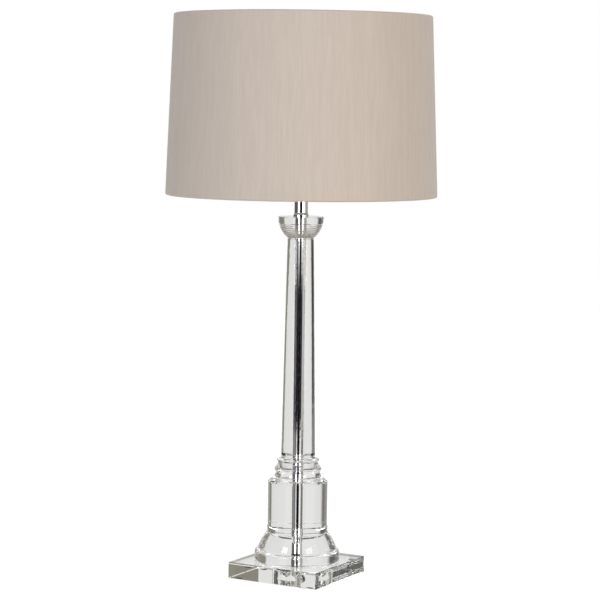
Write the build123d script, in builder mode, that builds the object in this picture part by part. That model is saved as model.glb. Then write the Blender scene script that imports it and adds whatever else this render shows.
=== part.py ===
from build123d import *
import os
from math import cos, radians, sin, sqrt

# A candlestick table lamp: turned crystal blocks on a square crystal plinth, clamped by a
# hollow rod in a chrome sleeve, with a chrome neck, a switched lampholder and a drum shade.
# Millimetres. +Z is up, and the origin is on the table, under the middle of the lamp.
# -Y is the front; the flex leaves the plinth at the back, on +Y.

# ---- Fits ----
slip = 0.15  # radial gap between turned metal parts that slide over each other
gap = 0.3  # gap between soft or moving pieces and what is next to them
edge = 0.8  # ground edge of the crystal blocks

# ---- Hollow rod, its sleeve and the bore through the crystal ----
rod_diameter = 10
rod_bore = 7
rod_reach = 1
sleeve_wall = 0.5
sleeve_diameter = rod_diameter + 2 * (slip + sleeve_wall)
bore_clearance = 0.35
bore_diameter = sleeve_diameter + 2 * bore_clearance
rod_hole_diameter = rod_diameter + 2 * slip

# ---- Hardware in the plinth's recess, from the top down ----
gasket_height = 1
gasket_lip = 1
bottom_washer_diameter = 34
bottom_washer_height = 2
gasket_diameter = bottom_washer_diameter + 2 * gasket_lip
spring_washer_width = 3.85
spring_washer_diameter = rod_hole_diameter + 2 * spring_washer_width
spring_washer_height = 1.8
spring_washer_slot = 2
bottom_nut_land = 3.5
bottom_nut_flats = rod_diameter + 2 * bottom_nut_land
bottom_nut_height = 5
rod_end = 2

# ---- Drum with a low foot band ----
drum_diameter = 90
drum_height = 79.2
drum_bevel = 3
drum_band_lip = 0.8
drum_band_diameter = drum_diameter + 2 * drum_band_lip
drum_band_height = 8
drum_band_slope = 0.6

# ---- Bell-shaped base block: each width steps out from the one above ----
bell_height = 43
bell_top_lip = 0.6
bell_top_bevel = 1
bell_top_diameter = drum_band_diameter + 2 * bell_top_lip
ovolo_run = 12.4
ovolo_bulge = 1
bell_diameter = bell_top_diameter + 2 * ovolo_run
bell_groove = 3.4
bell_groove_inset = 0.6
bell_foot_step = 5.4
bell_foot_diameter = bell_diameter + 2 * bell_foot_step
bell_foot_height = 16.2
bell_foot_round = 4.2
bell_foot_bevel = 1.6

# ---- Square plinth and its clear feet ----
plinth_margin = 11.3
plinth_side = bell_foot_diameter + 2 * plinth_margin
plinth_height = 24.5
recess_diameter = 47
recess_clearance = 1.7
clamp_height = gasket_height + bottom_washer_height + spring_washer_height + bottom_nut_height
recess_depth = clamp_height + rod_end + recess_clearance
flex_hole_diameter = 9
flex_hole_height = recess_depth - flex_hole_diameter / 2 - gap
foot_diameter = 12
foot_height = 1.5
foot_inset = 14

# ---- Tapering column ----
column_height = 328.2
column_bottom_diameter = 51.4
column_bevel = 1.6
column_top_diameter = 39.4
column_swell = 0.25

# ---- Ribbed collar: three ribs with grooves between, and a short neck under the column ----
collar_bottom_diameter = 60
# From the bottom up: the diameter at each turn, its climb from the turn below, its rounding.
collar_turns = [
    (71.6, 4.4, 1.5),
    (66.4, 6.2, 0),
    (71.6, 5.3, 1.5),
    (60.3, 8.7, 0),
    (64.4, 5.2, 0.8),
    (61, 1.6, 0),
]
collar_neck_lip = 0.4
collar_neck_diameter = column_bottom_diameter + 2 * collar_neck_lip
collar_neck_climb = 1.2
collar_neck_height = 1.6

# ---- Capital cup ----
cup_height = 33.2
cup_base_inset = 0.1
cup_base_diameter = column_top_diameter - 2 * cup_base_inset
cup_base_height = 1.4
cup_rim_diameter = 68.6
cup_rim_taper = 0.9
cup_rim_base_diameter = cup_rim_diameter - 2 * cup_rim_taper
cup_rim_height = 10.2
cup_rim_step = 1.2
cup_bowl_diameter = cup_rim_base_diameter - 2 * cup_rim_step
cup_fullness = 0.8
cup_steps = 6
cup_step_crown = 0.5

# ---- Clear washers between the blocks, hidden inside the narrowest joint ----
washer_inset = 4.7
washer_diameter = column_top_diameter - 2 * washer_inset
washer_height = 0.4

# ---- Flex grommet ----
grommet_bore = 6.6
grommet_flange_diameter = 13
grommet_flange_height = 1.5
grommet_length = 9

# ---- Chrome neck: as wide as the nut inside it needs ----
stack_nut_land = 2
stack_nut_flats = rod_diameter + 2 * stack_nut_land
stack_nut_height = 4
nut_room = 1.4
neck_wall = 1
neck_diameter = stack_nut_flats + 2 * (edge + nut_room + neck_wall)
neck_length = 30
neck_flare = 1.3
neck_flare_curve = 0.3
neck_foot_diameter = neck_diameter + 2 * neck_flare
neck_foot_height = 4.5
neck_washer_lip = 0.2
neck_washer_diameter = neck_foot_diameter + 2 * neck_washer_lip
neck_washer_height = 1.8
neck_cap_lip = 0.8
neck_cap_diameter = neck_diameter + 2 * neck_cap_lip
neck_cap_height = 1.5

# ---- Bulb ----
bulb_length = 108
bulb_diameter = 60
bulb_wall = 1.2
bulb_cap_diameter = 26.4
bulb_cap_height = 20
bulb_cap_wall = 0.4
bulb_tip_diameter = 9.6
bulb_tip_height = 1.2
bulb_insulator_height = 4.2
bulb_insulator_step = 1.7
bulb_insulator_diameter = bulb_cap_diameter - 2 * bulb_insulator_step
bulb_neck_step = 0.8
bulb_neck_diameter = bulb_cap_diameter + 2 * bulb_neck_step
bulb_neck_height = 2
bulb_body_diameter = 44
bulb_body_curve = 1
bulb_body_lip = 2.25

# ---- Threaded shell and ceramic insert: the bulb's cap sets their widths ----
shell_clearance = 0.35
shell_bore = bulb_cap_diameter + 2 * shell_clearance
shell_wall = 0.4
shell_height = 23
shell_floor_gap = 2
well_diameter = shell_bore + 2 * (shell_wall + slip)
insert_wall = 1.7
insert_body_diameter = well_diameter + 2 * insert_wall
insert_body_height = 7.5
insert_well_depth = 5
insert_boss_height = 4
contact_diameter = 8
contact_stem_diameter = 3.2
contact_height = 3.8
contact_head_height = 0.8
contact_bevel = 0.25
terminal_spacing = 14
terminal_offset = 8
terminal_head_diameter = 6
terminal_head_height = 2.5
terminal_shank_diameter = 3
terminal_shank_length = 6

# ---- Threaded skirt and shade rings, round the insert ----
skirt_room = 1.4
skirt_bore = insert_body_diameter + 2 * skirt_room
skirt_wall = 2.6
skirt_diameter = skirt_bore + 2 * skirt_wall
skirt_collar_step = 1.4
skirt_collar_diameter = skirt_diameter + 2 * skirt_collar_step
skirt_collar_drop = 7.5
skirt_ledge = 1.5
skirt_length = 37
shade_ring_hub_wall = 2.9
shade_ring_hub_diameter = skirt_diameter + 2 * (gap + shade_ring_hub_wall)
shade_ring_flange_width = 5.5
shade_ring_diameter = shade_ring_hub_diameter + 2 * shade_ring_flange_width
shade_ring_height = 9
shade_ring_flange = 3
lower_ring_lift = 3

# ---- Lampholder cap: a little narrower than the skirt that screws over it ----
holder_step = 0.8
holder_diameter = skirt_diameter - 2 * holder_step
holder_wall = 2
entry_wall = 2.35
entry_diameter = rod_hole_diameter + 2 * entry_wall
entry_height = 7
dome_height = 11
seat_depth = 2.5
seat_wall = 1.1
boss_room = 1.5
insert_boss_diameter = holder_diameter - 2 * (holder_wall + boss_room)
lock_screw_diameter = 3

# ---- Push bar switch ----
bar_size = 5
bar_travel = 7
bar_stub = 4
bar_length = holder_diameter + bar_travel + 2 * bar_stub
bar_inset = 9
bar_offset = holder_diameter / 2 - holder_wall - bar_inset
bar_drop = 5
block_length = 18
block_width = 11.5
block_height = 9.5
block_room = 0.5

# ---- Shade and its carrier ----
shade_bottom_diameter = 406
shade_top_diameter = 384
shade_height = 268.7
shade_drop = 50.9
fabric = 0.6
lining = 0.6
ring_wire = 3.2
hem_leg = 8
hem_flat_share = 0.6
carrier_margin = 6.5
carrier_diameter = shade_ring_diameter + 2 * carrier_margin
carrier_room = 0.7
carrier_hole_diameter = skirt_diameter + 2 * carrier_room
carrier_thickness = 1.5
arm_wire = 3.5
arm_count = 3
arm_start_angle = 90
arm_level = 14
arm_run_in = 16
arm_bend = 12
slot_reach = 2

# ---- Heights of the stack, from the table up ----
plinth_bottom = foot_height
plinth_top = plinth_bottom + plinth_height
bell_bottom = plinth_top + washer_height
bell_top = bell_bottom + bell_height
drum_bottom = bell_top + washer_height
drum_top = drum_bottom + drum_height
collar_bottom = drum_top + washer_height
collar_neck_bottom = collar_bottom + sum(climb for _, climb, _ in collar_turns) + collar_neck_climb
collar_top = collar_neck_bottom + collar_neck_height
column_bottom = collar_top + washer_height
column_top = column_bottom + column_height
cup_bottom = column_top + washer_height
cup_top = cup_bottom + cup_height
joints = [plinth_top, bell_top, drum_top, collar_top, column_top]

recess_top = plinth_bottom + recess_depth
bottom_washer_top = recess_top - gasket_height
spring_washer_top = bottom_washer_top - bottom_washer_height
bottom_nut_top = spring_washer_top - spring_washer_height
rod_bottom = bottom_nut_top - bottom_nut_height - rod_end

neck_bottom = cup_top + neck_washer_height
neck_top = neck_bottom + neck_length
holder_bottom = neck_top + neck_cap_height
rod_top = holder_bottom + entry_height + rod_reach
block_bottom = holder_bottom + entry_height + dome_height + block_room
boss_bottom = block_bottom + block_height
bar_level = boss_bottom - bar_drop
seat_level = boss_bottom + insert_boss_height
holder_top = seat_level + seat_depth
skirt_top = holder_top + skirt_ledge + skirt_length
well_floor = holder_top + insert_body_height - insert_well_depth

lower_ring_top = holder_top + skirt_ledge + lower_ring_lift + shade_ring_height
carrier_bottom = lower_ring_top + gap
carrier_top = carrier_bottom + carrier_thickness
upper_ring_bottom = carrier_top + gap

bulb_bottom = well_floor + contact_height + gap
bulb_cap_bottom = bulb_bottom + bulb_tip_height + bulb_insulator_height
bulb_cap_top = bulb_cap_bottom + bulb_cap_height
bulb_top = bulb_bottom + bulb_length
bulb_centre = bulb_top - bulb_diameter / 2
globe_radius = bulb_diameter / 2
globe_mouth = bulb_body_diameter / 2 - bulb_body_lip
globe_drop = sqrt(globe_radius**2 - globe_mouth**2)
globe_bottom = bulb_centre - globe_drop

shade_bottom = carrier_bottom - shade_drop
shade_top = shade_bottom + shade_height
hem = (2 * fabric + lining + ring_wire + 3 * gap) / 2
hem_low = shade_bottom + hem
hem_high = shade_top - hem


def save(piece, name):
    """Label a finished piece and write its file."""
    piece.part.label = name
    export_step(piece.part, f"parts/{name}.step")


def turned_ring(outer, inner, bottom, height):
    """A plain turned ring, such as a washer or a tube."""
    with BuildPart() as ring:
        with BuildSketch(Plane.XY.offset(bottom)):
            Circle(outer / 2)
            Circle(inner / 2, mode=Mode.SUBTRACT)
        extrude(amount=height)
    return ring


def hex_nut(flats, bottom, height):
    """A hexagon nut on the rod, with its corners turned down at both ends."""
    with BuildPart() as nut:
        with BuildSketch(Plane.XY.offset(bottom)):
            RegularPolygon(flats / 2, 6, major_radius=False)
        extrude(amount=height)
        with BuildSketch(Plane.XY.offset(bottom)):
            Circle(flats / 2 + edge)
        extrude(amount=height, mode=Mode.INTERSECT)
        with BuildSketch(Plane.XY.offset(bottom)):
            Circle(rod_hole_diameter / 2)
        extrude(amount=height, mode=Mode.SUBTRACT)
    return nut


def shade_radius(z):
    """Outside radius of the shade at a height."""
    share = (z - shade_bottom) / shade_height
    return (shade_bottom_diameter + (shade_top_diameter - shade_bottom_diameter) * share) / 2


def wall_point(depth, z):
    """A point of the shade's section, a depth in from its outside."""
    return (shade_radius(z) - depth, z)


os.makedirs("parts", exist_ok=True)

# ---- Feet: four clear discs, set in from the plinth's corners ----
foot_pitch = plinth_side - 2 * foot_inset
with BuildPart() as foot_pads:
    with BuildSketch():
        with GridLocations(foot_pitch, foot_pitch, 2, 2):
            Circle(foot_diameter / 2)
    extrude(amount=foot_height)
save(foot_pads, "foot_pads")

# ---- Plinth: square slab with ground edges, a recess for the nut and a hole for the flex ----
with BuildPart() as plinth:
    with BuildSketch(Plane.XY.offset(plinth_bottom)):
        Rectangle(plinth_side, plinth_side)
    extrude(amount=plinth_height)
    chamfer(plinth.edges(), edge)
    with BuildSketch(Plane.XY.offset(plinth_bottom)):
        Circle(recess_diameter / 2)
    extrude(amount=recess_depth, mode=Mode.SUBTRACT)
    with BuildSketch(Plane.XY.offset(plinth_bottom)):
        Circle(bore_diameter / 2)
    extrude(amount=plinth_height, mode=Mode.SUBTRACT)
    with BuildSketch(Plane.XZ.offset(-plinth_side / 2)):
        with Locations((0, plinth_bottom + flex_hole_height)):
            Circle(flex_hole_diameter / 2)
    extrude(amount=plinth_side / 2, mode=Mode.SUBTRACT)
save(plinth, "plinth")

# ---- Grommet in the flex hole, with its flange against the plinth's back face ----
grommet_plane = Plane(
    origin=(0, plinth_side / 2 + grommet_flange_height, plinth_bottom + flex_hole_height),
    z_dir=(0, -1, 0),
)
with BuildPart() as flex_grommet:
    with BuildSketch(grommet_plane):
        Circle(grommet_flange_diameter / 2)
    extrude(amount=grommet_flange_height)
    with BuildSketch(grommet_plane):
        Circle(flex_hole_diameter / 2 - slip)
    extrude(amount=grommet_length)
    with BuildSketch(grommet_plane):
        Circle(grommet_bore / 2)
    extrude(amount=grommet_length, mode=Mode.SUBTRACT)
save(flex_grommet, "flex_grommet")

# ---- Clamping hardware in the recess ----
bottom_gasket = turned_ring(gasket_diameter, bore_diameter, bottom_washer_top, gasket_height)
save(bottom_gasket, "bottom_gasket")

bottom_washer = turned_ring(
    bottom_washer_diameter, rod_hole_diameter, spring_washer_top, bottom_washer_height
)
save(bottom_washer, "bottom_washer")

with BuildPart() as spring_washer:
    with BuildSketch(Plane.XY.offset(bottom_nut_top)):
        Circle(spring_washer_diameter / 2)
        Circle(rod_hole_diameter / 2, mode=Mode.SUBTRACT)
        with Locations((spring_washer_diameter / 2, 0)):
            Rectangle(spring_washer_diameter, spring_washer_slot, mode=Mode.SUBTRACT)
    extrude(amount=spring_washer_height)
save(spring_washer, "spring_washer")

bottom_nut = hex_nut(bottom_nut_flats, bottom_nut_top - bottom_nut_height, bottom_nut_height)
save(bottom_nut, "bottom_nut")

# ---- Hollow rod, from under the bottom nut to inside the lampholder ----
threaded_rod = turned_ring(rod_diameter, rod_bore, rod_bottom, rod_top - rod_bottom)
save(threaded_rod, "threaded_rod")

# ---- Chrome sleeve, from the bottom washer to the top of the cup ----
rod_sleeve = turned_ring(
    sleeve_diameter,
    sleeve_diameter - 2 * sleeve_wall,
    bottom_washer_top,
    cup_top - bottom_washer_top,
)
save(rod_sleeve, "rod_sleeve")

# ---- Clear washers, one under each block ----
with BuildPart() as joint_washers:
    for joint in joints:
        with BuildSketch(Plane.XY.offset(joint)):
            Circle(washer_diameter / 2)
            Circle(bore_diameter / 2, mode=Mode.SUBTRACT)
        extrude(amount=washer_height)
save(joint_washers, "joint_washers")

# ---- Bell base: round-edged foot, groove, and an ovolo up to the drum ----
bore_radius = bore_diameter / 2
foot_level = bell_bottom + bell_foot_height
foot_shelf_radius = bell_foot_diameter / 2 - bell_foot_round
foot_round_point = bell_foot_round * (1 - cos(radians(45)))
bell_spring = foot_level + bell_groove
with BuildPart() as bell_base:
    with BuildSketch(Plane.XZ):
        with BuildLine():
            Polyline(
                (bell_foot_diameter / 2, foot_level - bell_foot_round),
                (bell_foot_diameter / 2, bell_bottom + bell_foot_bevel),
                (bell_foot_diameter / 2 - bell_foot_bevel / 2, bell_bottom),
                (bore_radius, bell_bottom),
                (bore_radius, bell_top),
                (bell_top_diameter / 2 - bell_top_bevel, bell_top),
                (bell_top_diameter / 2, bell_top - bell_top_bevel),
            )
            SagittaArc(
                (bell_top_diameter / 2, bell_top - bell_top_bevel),
                (bell_diameter / 2, bell_spring),
                ovolo_bulge,
            )
            Polyline(
                (bell_diameter / 2, bell_spring),
                (bell_diameter / 2 - bell_groove_inset, foot_level),
                (foot_shelf_radius, foot_level),
            )
            ThreePointArc(
                (foot_shelf_radius, foot_level),
                (bell_foot_diameter / 2 - foot_round_point, foot_level - foot_round_point),
                (bell_foot_diameter / 2, foot_level - bell_foot_round),
            )
        make_face()
    revolve(axis=Axis.Z)
save(bell_base, "bell_base")

# ---- Drum: low foot band, plain side and a bevelled top edge ----
band_top = drum_bottom + drum_band_height
with BuildPart() as pedestal_drum:
    with BuildSketch(Plane.XZ):
        with BuildLine():
            Polyline(
                (bore_radius, drum_bottom),
                (bore_radius, drum_top),
                (drum_diameter / 2 - drum_bevel, drum_top),
                (drum_diameter / 2, drum_top - drum_bevel),
                (drum_diameter / 2, band_top),
                (drum_band_diameter / 2, band_top - drum_band_slope),
                (drum_band_diameter / 2, drum_bottom + edge),
                (drum_band_diameter / 2 - edge, drum_bottom),
                close=True,
            )
        make_face()
    revolve(axis=Axis.Z)
save(pedestal_drum, "pedestal_drum")

# ---- Collar: ribs with rounded crowns and sharp grooves, then the neck under the column ----
collar_outline = [(collar_bottom_diameter / 2, collar_bottom)]
collar_rounds = []
level = collar_bottom
for diameter, climb, rounding in collar_turns:
    level += climb
    collar_outline.append((diameter / 2, level))
    collar_rounds.append(rounding)
collar_outline.append((collar_neck_diameter / 2, collar_neck_bottom))
collar_rounds.append(0)
collar_outline.append((collar_neck_diameter / 2, collar_top))
with BuildPart() as ribbed_collar:
    with BuildSketch(Plane.XZ):
        with BuildLine():
            FilletPolyline(*collar_outline, radius=collar_rounds)
            Polyline(
                collar_outline[-1],
                (bore_radius, collar_top),
                (bore_radius, collar_bottom),
                collar_outline[0],
            )
        make_face()
    revolve(axis=Axis.Z)
save(ribbed_collar, "ribbed_collar")

# ---- Column: a bevelled foot and a taper with a slight swelling ----
taper_bottom = column_bottom + column_bevel
taper_top = column_top - edge
middle_radius = (column_bottom_diameter + column_top_diameter) / 4 + column_swell
with BuildPart() as column:
    with BuildSketch(Plane.XZ):
        with BuildLine():
            Polyline(
                (column_bottom_diameter / 2, taper_bottom),
                (column_bottom_diameter / 2 - column_bevel, column_bottom),
                (bore_radius, column_bottom),
                (bore_radius, column_top),
                (column_top_diameter / 2 - edge, column_top),
                (column_top_diameter / 2, taper_top),
            )
            ThreePointArc(
                (column_top_diameter / 2, taper_top),
                (middle_radius, (taper_bottom + taper_top) / 2),
                (column_bottom_diameter / 2, taper_bottom),
            )
        make_face()
    revolve(axis=Axis.Z)
save(column, "column")

# ---- Capital cup: a bowl of crowned steps under a tapered rim band ----
bowl_bottom = cup_bottom + cup_base_height
bowl_height = cup_height - cup_base_height - cup_rim_height - edge
bowl_run = (cup_bowl_diameter - cup_base_diameter) / 2


def bowl_point(step):
    """Where a step of the bowl starts, on its full, rounded section."""
    share = step / cup_steps
    out = share * (1 + cup_fullness * (1 - share))
    return (cup_base_diameter / 2 + bowl_run * out, bowl_bottom + bowl_height * share)


with BuildPart() as capital_cup:
    with BuildSketch(Plane.XZ):
        with BuildLine():
            for step in range(cup_steps):
                SagittaArc(bowl_point(step), bowl_point(step + 1), -cup_step_crown)
            Polyline(
                bowl_point(cup_steps),
                (cup_rim_base_diameter / 2, cup_top - cup_rim_height),
                (cup_rim_diameter / 2, cup_top - edge),
                (cup_rim_diameter / 2 - edge, cup_top),
                (bore_radius, cup_top),
                (bore_radius, cup_bottom),
                (cup_base_diameter / 2, cup_bottom),
                bowl_point(0),
            )
        make_face()
    revolve(axis=Axis.Z)
save(capital_cup, "capital_cup")

# ---- Neck: washer, nut, flared tube and cap ----
neck_washer = turned_ring(neck_washer_diameter, rod_hole_diameter, cup_top, neck_washer_height)
save(neck_washer, "neck_washer")

stack_nut = hex_nut(stack_nut_flats, neck_bottom, stack_nut_height)
save(stack_nut, "stack_nut")

with BuildPart() as neck_tube:
    with BuildSketch(Plane.XZ):
        with BuildLine():
            Polyline(
                (neck_diameter / 2, neck_bottom + neck_foot_height),
                (neck_diameter / 2, neck_top),
                (neck_diameter / 2 - neck_wall, neck_top),
                (neck_diameter / 2 - neck_wall, neck_bottom),
                (neck_foot_diameter / 2, neck_bottom),
                (neck_foot_diameter / 2, neck_bottom + edge),
            )
            SagittaArc(
                (neck_foot_diameter / 2, neck_bottom + edge),
                (neck_diameter / 2, neck_bottom + neck_foot_height),
                neck_flare_curve,
            )
        make_face()
    revolve(axis=Axis.Z)
save(neck_tube, "neck_tube")

neck_cap = turned_ring(neck_cap_diameter, rod_hole_diameter, neck_top, neck_cap_height)
save(neck_cap, "neck_cap")

# ---- Lampholder cap: entry for the rod, dome, and a round wall with a seat for the insert ----
entry_radius = entry_diameter / 2
entry_top = holder_bottom + entry_height
dome_top = entry_top + dome_height
holder_radius = holder_diameter / 2
inside_radius = holder_radius - holder_wall
seat_radius = holder_radius - seat_wall
rod_hole_radius = rod_hole_diameter / 2
dome_run = holder_radius - entry_radius
inside_run = inside_radius - rod_hole_radius
dome_middle = sin(radians(45))
with BuildPart() as holder_cap:
    with BuildSketch(Plane.XZ):
        with BuildLine():
            Polyline(
                (entry_radius, entry_top),
                (entry_radius, holder_bottom),
                (rod_hole_radius, holder_bottom),
                (rod_hole_radius, entry_top + holder_wall),
            )
            ThreePointArc(
                (rod_hole_radius, entry_top + holder_wall),
                (
                    inside_radius - (1 - dome_middle) * inside_run,
                    dome_top - dome_middle * (dome_height - holder_wall),
                ),
                (inside_radius, dome_top),
            )
            Polyline(
                (inside_radius, dome_top),
                (inside_radius, seat_level),
                (seat_radius, seat_level),
                (seat_radius, holder_top),
                (holder_radius, holder_top),
                (holder_radius, dome_top),
            )
            ThreePointArc(
                (holder_radius, dome_top),
                (
                    holder_radius - (1 - dome_middle) * dome_run,
                    dome_top - dome_middle * dome_height,
                ),
                (entry_radius, entry_top),
            )
        make_face()
    revolve(axis=Axis.Z)
    with BuildSketch(Plane.YZ.offset(-holder_radius)):
        with Locations((-bar_offset, bar_level)):
            Rectangle(bar_size + 2 * gap, bar_size + 2 * gap)
    extrude(amount=holder_diameter, mode=Mode.SUBTRACT)
    with BuildSketch(Plane.XZ.offset(-entry_radius)):
        with Locations((0, holder_bottom + entry_height / 2)):
            Circle(lock_screw_diameter / 2 + slip)
    extrude(amount=entry_radius, mode=Mode.SUBTRACT)
save(holder_cap, "holder_cap")

# ---- Grub screw at the back of the entry, against the rod ----
lock_screw_length = entry_radius - rod_diameter / 2 + slip
with BuildPart() as lock_screw:
    with BuildSketch(Plane.XZ.offset(-entry_radius - 2 * slip)):
        with Locations((0, holder_bottom + entry_height / 2)):
            Circle(lock_screw_diameter / 2)
    extrude(amount=lock_screw_length)
save(lock_screw, "lock_screw")

# ---- Ceramic insert: boss below, flange on the seat, body with a well above ----
with BuildPart() as holder_insert:
    with BuildSketch(Plane.XY.offset(boss_bottom)):
        Circle(insert_boss_diameter / 2)
    extrude(amount=insert_boss_height)
    with BuildSketch(Plane.XY.offset(seat_level)):
        Circle(seat_radius - slip)
    extrude(amount=seat_depth)
    with BuildSketch(Plane.XY.offset(holder_top)):
        Circle(insert_body_diameter / 2)
    extrude(amount=insert_body_height)
    with BuildSketch(Plane.XY.offset(well_floor)):
        Circle(well_diameter / 2)
    extrude(amount=insert_well_depth, mode=Mode.SUBTRACT)
    with BuildSketch(Plane.XY.offset(boss_bottom)):
        with Locations((0, terminal_offset)):
            with GridLocations(terminal_spacing, 0, 2, 1):
                Circle(terminal_shank_diameter / 2 + slip)
    extrude(amount=terminal_shank_length + gap, mode=Mode.SUBTRACT)
save(holder_insert, "holder_insert")

# ---- Threaded shell that takes the bulb, standing in the well ----
with BuildPart() as screw_shell:
    with BuildSketch(Plane.XY.offset(well_floor)):
        Circle(shell_bore / 2 + shell_wall)
        Circle(contact_diameter / 2 + shell_floor_gap, mode=Mode.SUBTRACT)
    extrude(amount=shell_wall)
    with BuildSketch(Plane.XY.offset(well_floor + shell_wall)):
        Circle(shell_bore / 2 + shell_wall)
        Circle(shell_bore / 2, mode=Mode.SUBTRACT)
    extrude(amount=shell_height - shell_wall)
save(screw_shell, "screw_shell")

# ---- Centre contact: stem and rounded head ----
with BuildPart() as centre_contact:
    with BuildSketch(Plane.XY.offset(well_floor)):
        Circle(contact_stem_diameter / 2)
    extrude(amount=contact_height)
    with BuildSketch(Plane.XY.offset(well_floor + contact_height - contact_head_height)):
        Circle(contact_diameter / 2)
    extrude(amount=contact_head_height)
    chamfer(centre_contact.edges().group_by(Axis.Z)[-1], contact_bevel)
save(centre_contact, "centre_contact")

# ---- Two terminal screws under the insert ----
with BuildPart() as terminal_screws:
    with BuildSketch(Plane.XY.offset(boss_bottom - terminal_head_height)):
        with Locations((0, terminal_offset)):
            with GridLocations(terminal_spacing, 0, 2, 1):
                Circle(terminal_head_diameter / 2)
    extrude(amount=terminal_head_height)
    with BuildSketch(Plane.XY.offset(boss_bottom)):
        with Locations((0, terminal_offset)):
            with GridLocations(terminal_spacing, 0, 2, 1):
                Circle(terminal_shank_diameter / 2)
    extrude(amount=terminal_shank_length)
save(terminal_screws, "terminal_screws")

# ---- Switch block under the insert, with the push bar through it ----
with BuildPart() as switch_block:
    with BuildSketch(Plane.XY.offset(block_bottom)):
        with Locations((0, -bar_offset)):
            Rectangle(block_length, block_width)
    extrude(amount=block_height)
    with BuildSketch(Plane.YZ.offset(-block_length / 2)):
        with Locations((-bar_offset, bar_level)):
            Rectangle(bar_size + 2 * gap, bar_size + 2 * gap)
    extrude(amount=block_length, mode=Mode.SUBTRACT)
save(switch_block, "switch_block")

with BuildPart() as switch_bar:
    with BuildSketch(Plane.YZ.offset(-(bar_length + bar_travel) / 2)):
        with Locations((-bar_offset, bar_level)):
            RectangleRounded(bar_size, bar_size, edge)
    extrude(amount=bar_length)
    chamfer(switch_bar.faces().filter_by(Axis.X).edges(), edge / 2)
save(switch_bar, "switch_bar")

# ---- Threaded skirt: collar over the cap, ledge on the insert, long threaded tube ----
with BuildPart() as holder_skirt:
    with BuildSketch(Plane.XZ):
        with BuildLine():
            Polyline(
                (holder_radius + slip, holder_top - skirt_collar_drop),
                (skirt_collar_diameter / 2, holder_top - skirt_collar_drop),
                (skirt_collar_diameter / 2, holder_top + skirt_ledge),
                (skirt_diameter / 2, holder_top + skirt_ledge),
                (skirt_diameter / 2, skirt_top - edge),
                (skirt_diameter / 2 - edge, skirt_top),
                (skirt_bore / 2, skirt_top),
                (skirt_bore / 2, holder_top + skirt_ledge),
                (insert_body_diameter / 2 + gap, holder_top + skirt_ledge),
                (insert_body_diameter / 2 + gap, holder_top),
                (holder_radius + slip, holder_top),
                close=True,
            )
        make_face()
    revolve(axis=Axis.Z)
save(holder_skirt, "holder_skirt")


def shade_ring(level, flange_up):
    """A threaded shade ring: a hub with a wide flange on the side of the carrier."""
    flange_level = level + shade_ring_height - shade_ring_flange if flange_up else level
    with BuildPart() as ring:
        with BuildSketch(Plane.XY.offset(level)):
            Circle(shade_ring_hub_diameter / 2)
        extrude(amount=shade_ring_height)
        with BuildSketch(Plane.XY.offset(flange_level)):
            Circle(shade_ring_diameter / 2)
        extrude(amount=shade_ring_flange)
        with BuildSketch(Plane.XY.offset(level)):
            Circle(skirt_diameter / 2 + gap)
        extrude(amount=shade_ring_height, mode=Mode.SUBTRACT)
    return ring


lower_shade_ring = shade_ring(lower_ring_top - shade_ring_height, True)
save(lower_shade_ring, "lower_shade_ring")

upper_shade_ring = shade_ring(upper_ring_bottom, False)
save(upper_shade_ring, "upper_shade_ring")

# ---- Bulb: contact, insulator, cap, body and globe ----
with BuildPart() as bulb_contact:
    with BuildSketch(Plane.XY.offset(bulb_bottom)):
        Circle(bulb_tip_diameter / 2)
    extrude(amount=bulb_tip_height)
    chamfer(bulb_contact.edges().group_by(Axis.Z)[0], bulb_tip_height / 2)
save(bulb_contact, "bulb_contact")

with BuildPart() as bulb_insulator:
    with BuildSketch(Plane.XZ):
        with BuildLine():
            Polyline(
                (0, bulb_bottom + bulb_tip_height),
                (bulb_tip_diameter / 2, bulb_bottom + bulb_tip_height),
                (bulb_insulator_diameter / 2, bulb_cap_bottom),
                (0, bulb_cap_bottom),
                close=True,
            )
        make_face()
    revolve(axis=Axis.Z)
save(bulb_insulator, "bulb_insulator")

bulb_cap = turned_ring(
    bulb_cap_diameter,
    bulb_cap_diameter - 2 * bulb_cap_wall,
    bulb_cap_bottom,
    bulb_cap_height,
)
save(bulb_cap, "bulb_cap")

plug_radius = bulb_cap_diameter / 2 - bulb_cap_wall - slip
with BuildPart() as bulb_body:
    with BuildSketch(Plane.XZ):
        with BuildLine():
            Polyline(
                (bulb_body_diameter / 2, globe_bottom),
                (0, globe_bottom),
                (0, bulb_cap_bottom),
                (plug_radius, bulb_cap_bottom),
                (plug_radius, bulb_cap_top),
                (bulb_neck_diameter / 2, bulb_cap_top),
                (bulb_neck_diameter / 2, bulb_cap_top + bulb_neck_height),
            )
            SagittaArc(
                (bulb_neck_diameter / 2, bulb_cap_top + bulb_neck_height),
                (bulb_body_diameter / 2, globe_bottom),
                bulb_body_curve,
            )
        make_face()
    revolve(axis=Axis.Z)
save(bulb_body, "bulb_body")

globe_inside = globe_radius - bulb_wall
globe_inside_mouth = sqrt(globe_inside**2 - globe_drop**2)
with BuildPart() as bulb_globe:
    with BuildSketch(Plane.XZ):
        with BuildLine():
            ThreePointArc((globe_mouth, globe_bottom), (globe_radius, bulb_centre), (0, bulb_top))
            Line((0, bulb_top), (0, bulb_top - bulb_wall))
            ThreePointArc(
                (0, bulb_top - bulb_wall),
                (globe_inside, bulb_centre),
                (globe_inside_mouth, globe_bottom),
            )
            Line((globe_inside_mouth, globe_bottom), (globe_mouth, globe_bottom))
        make_face()
    revolve(axis=Axis.Z)
save(bulb_globe, "bulb_globe")

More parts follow.
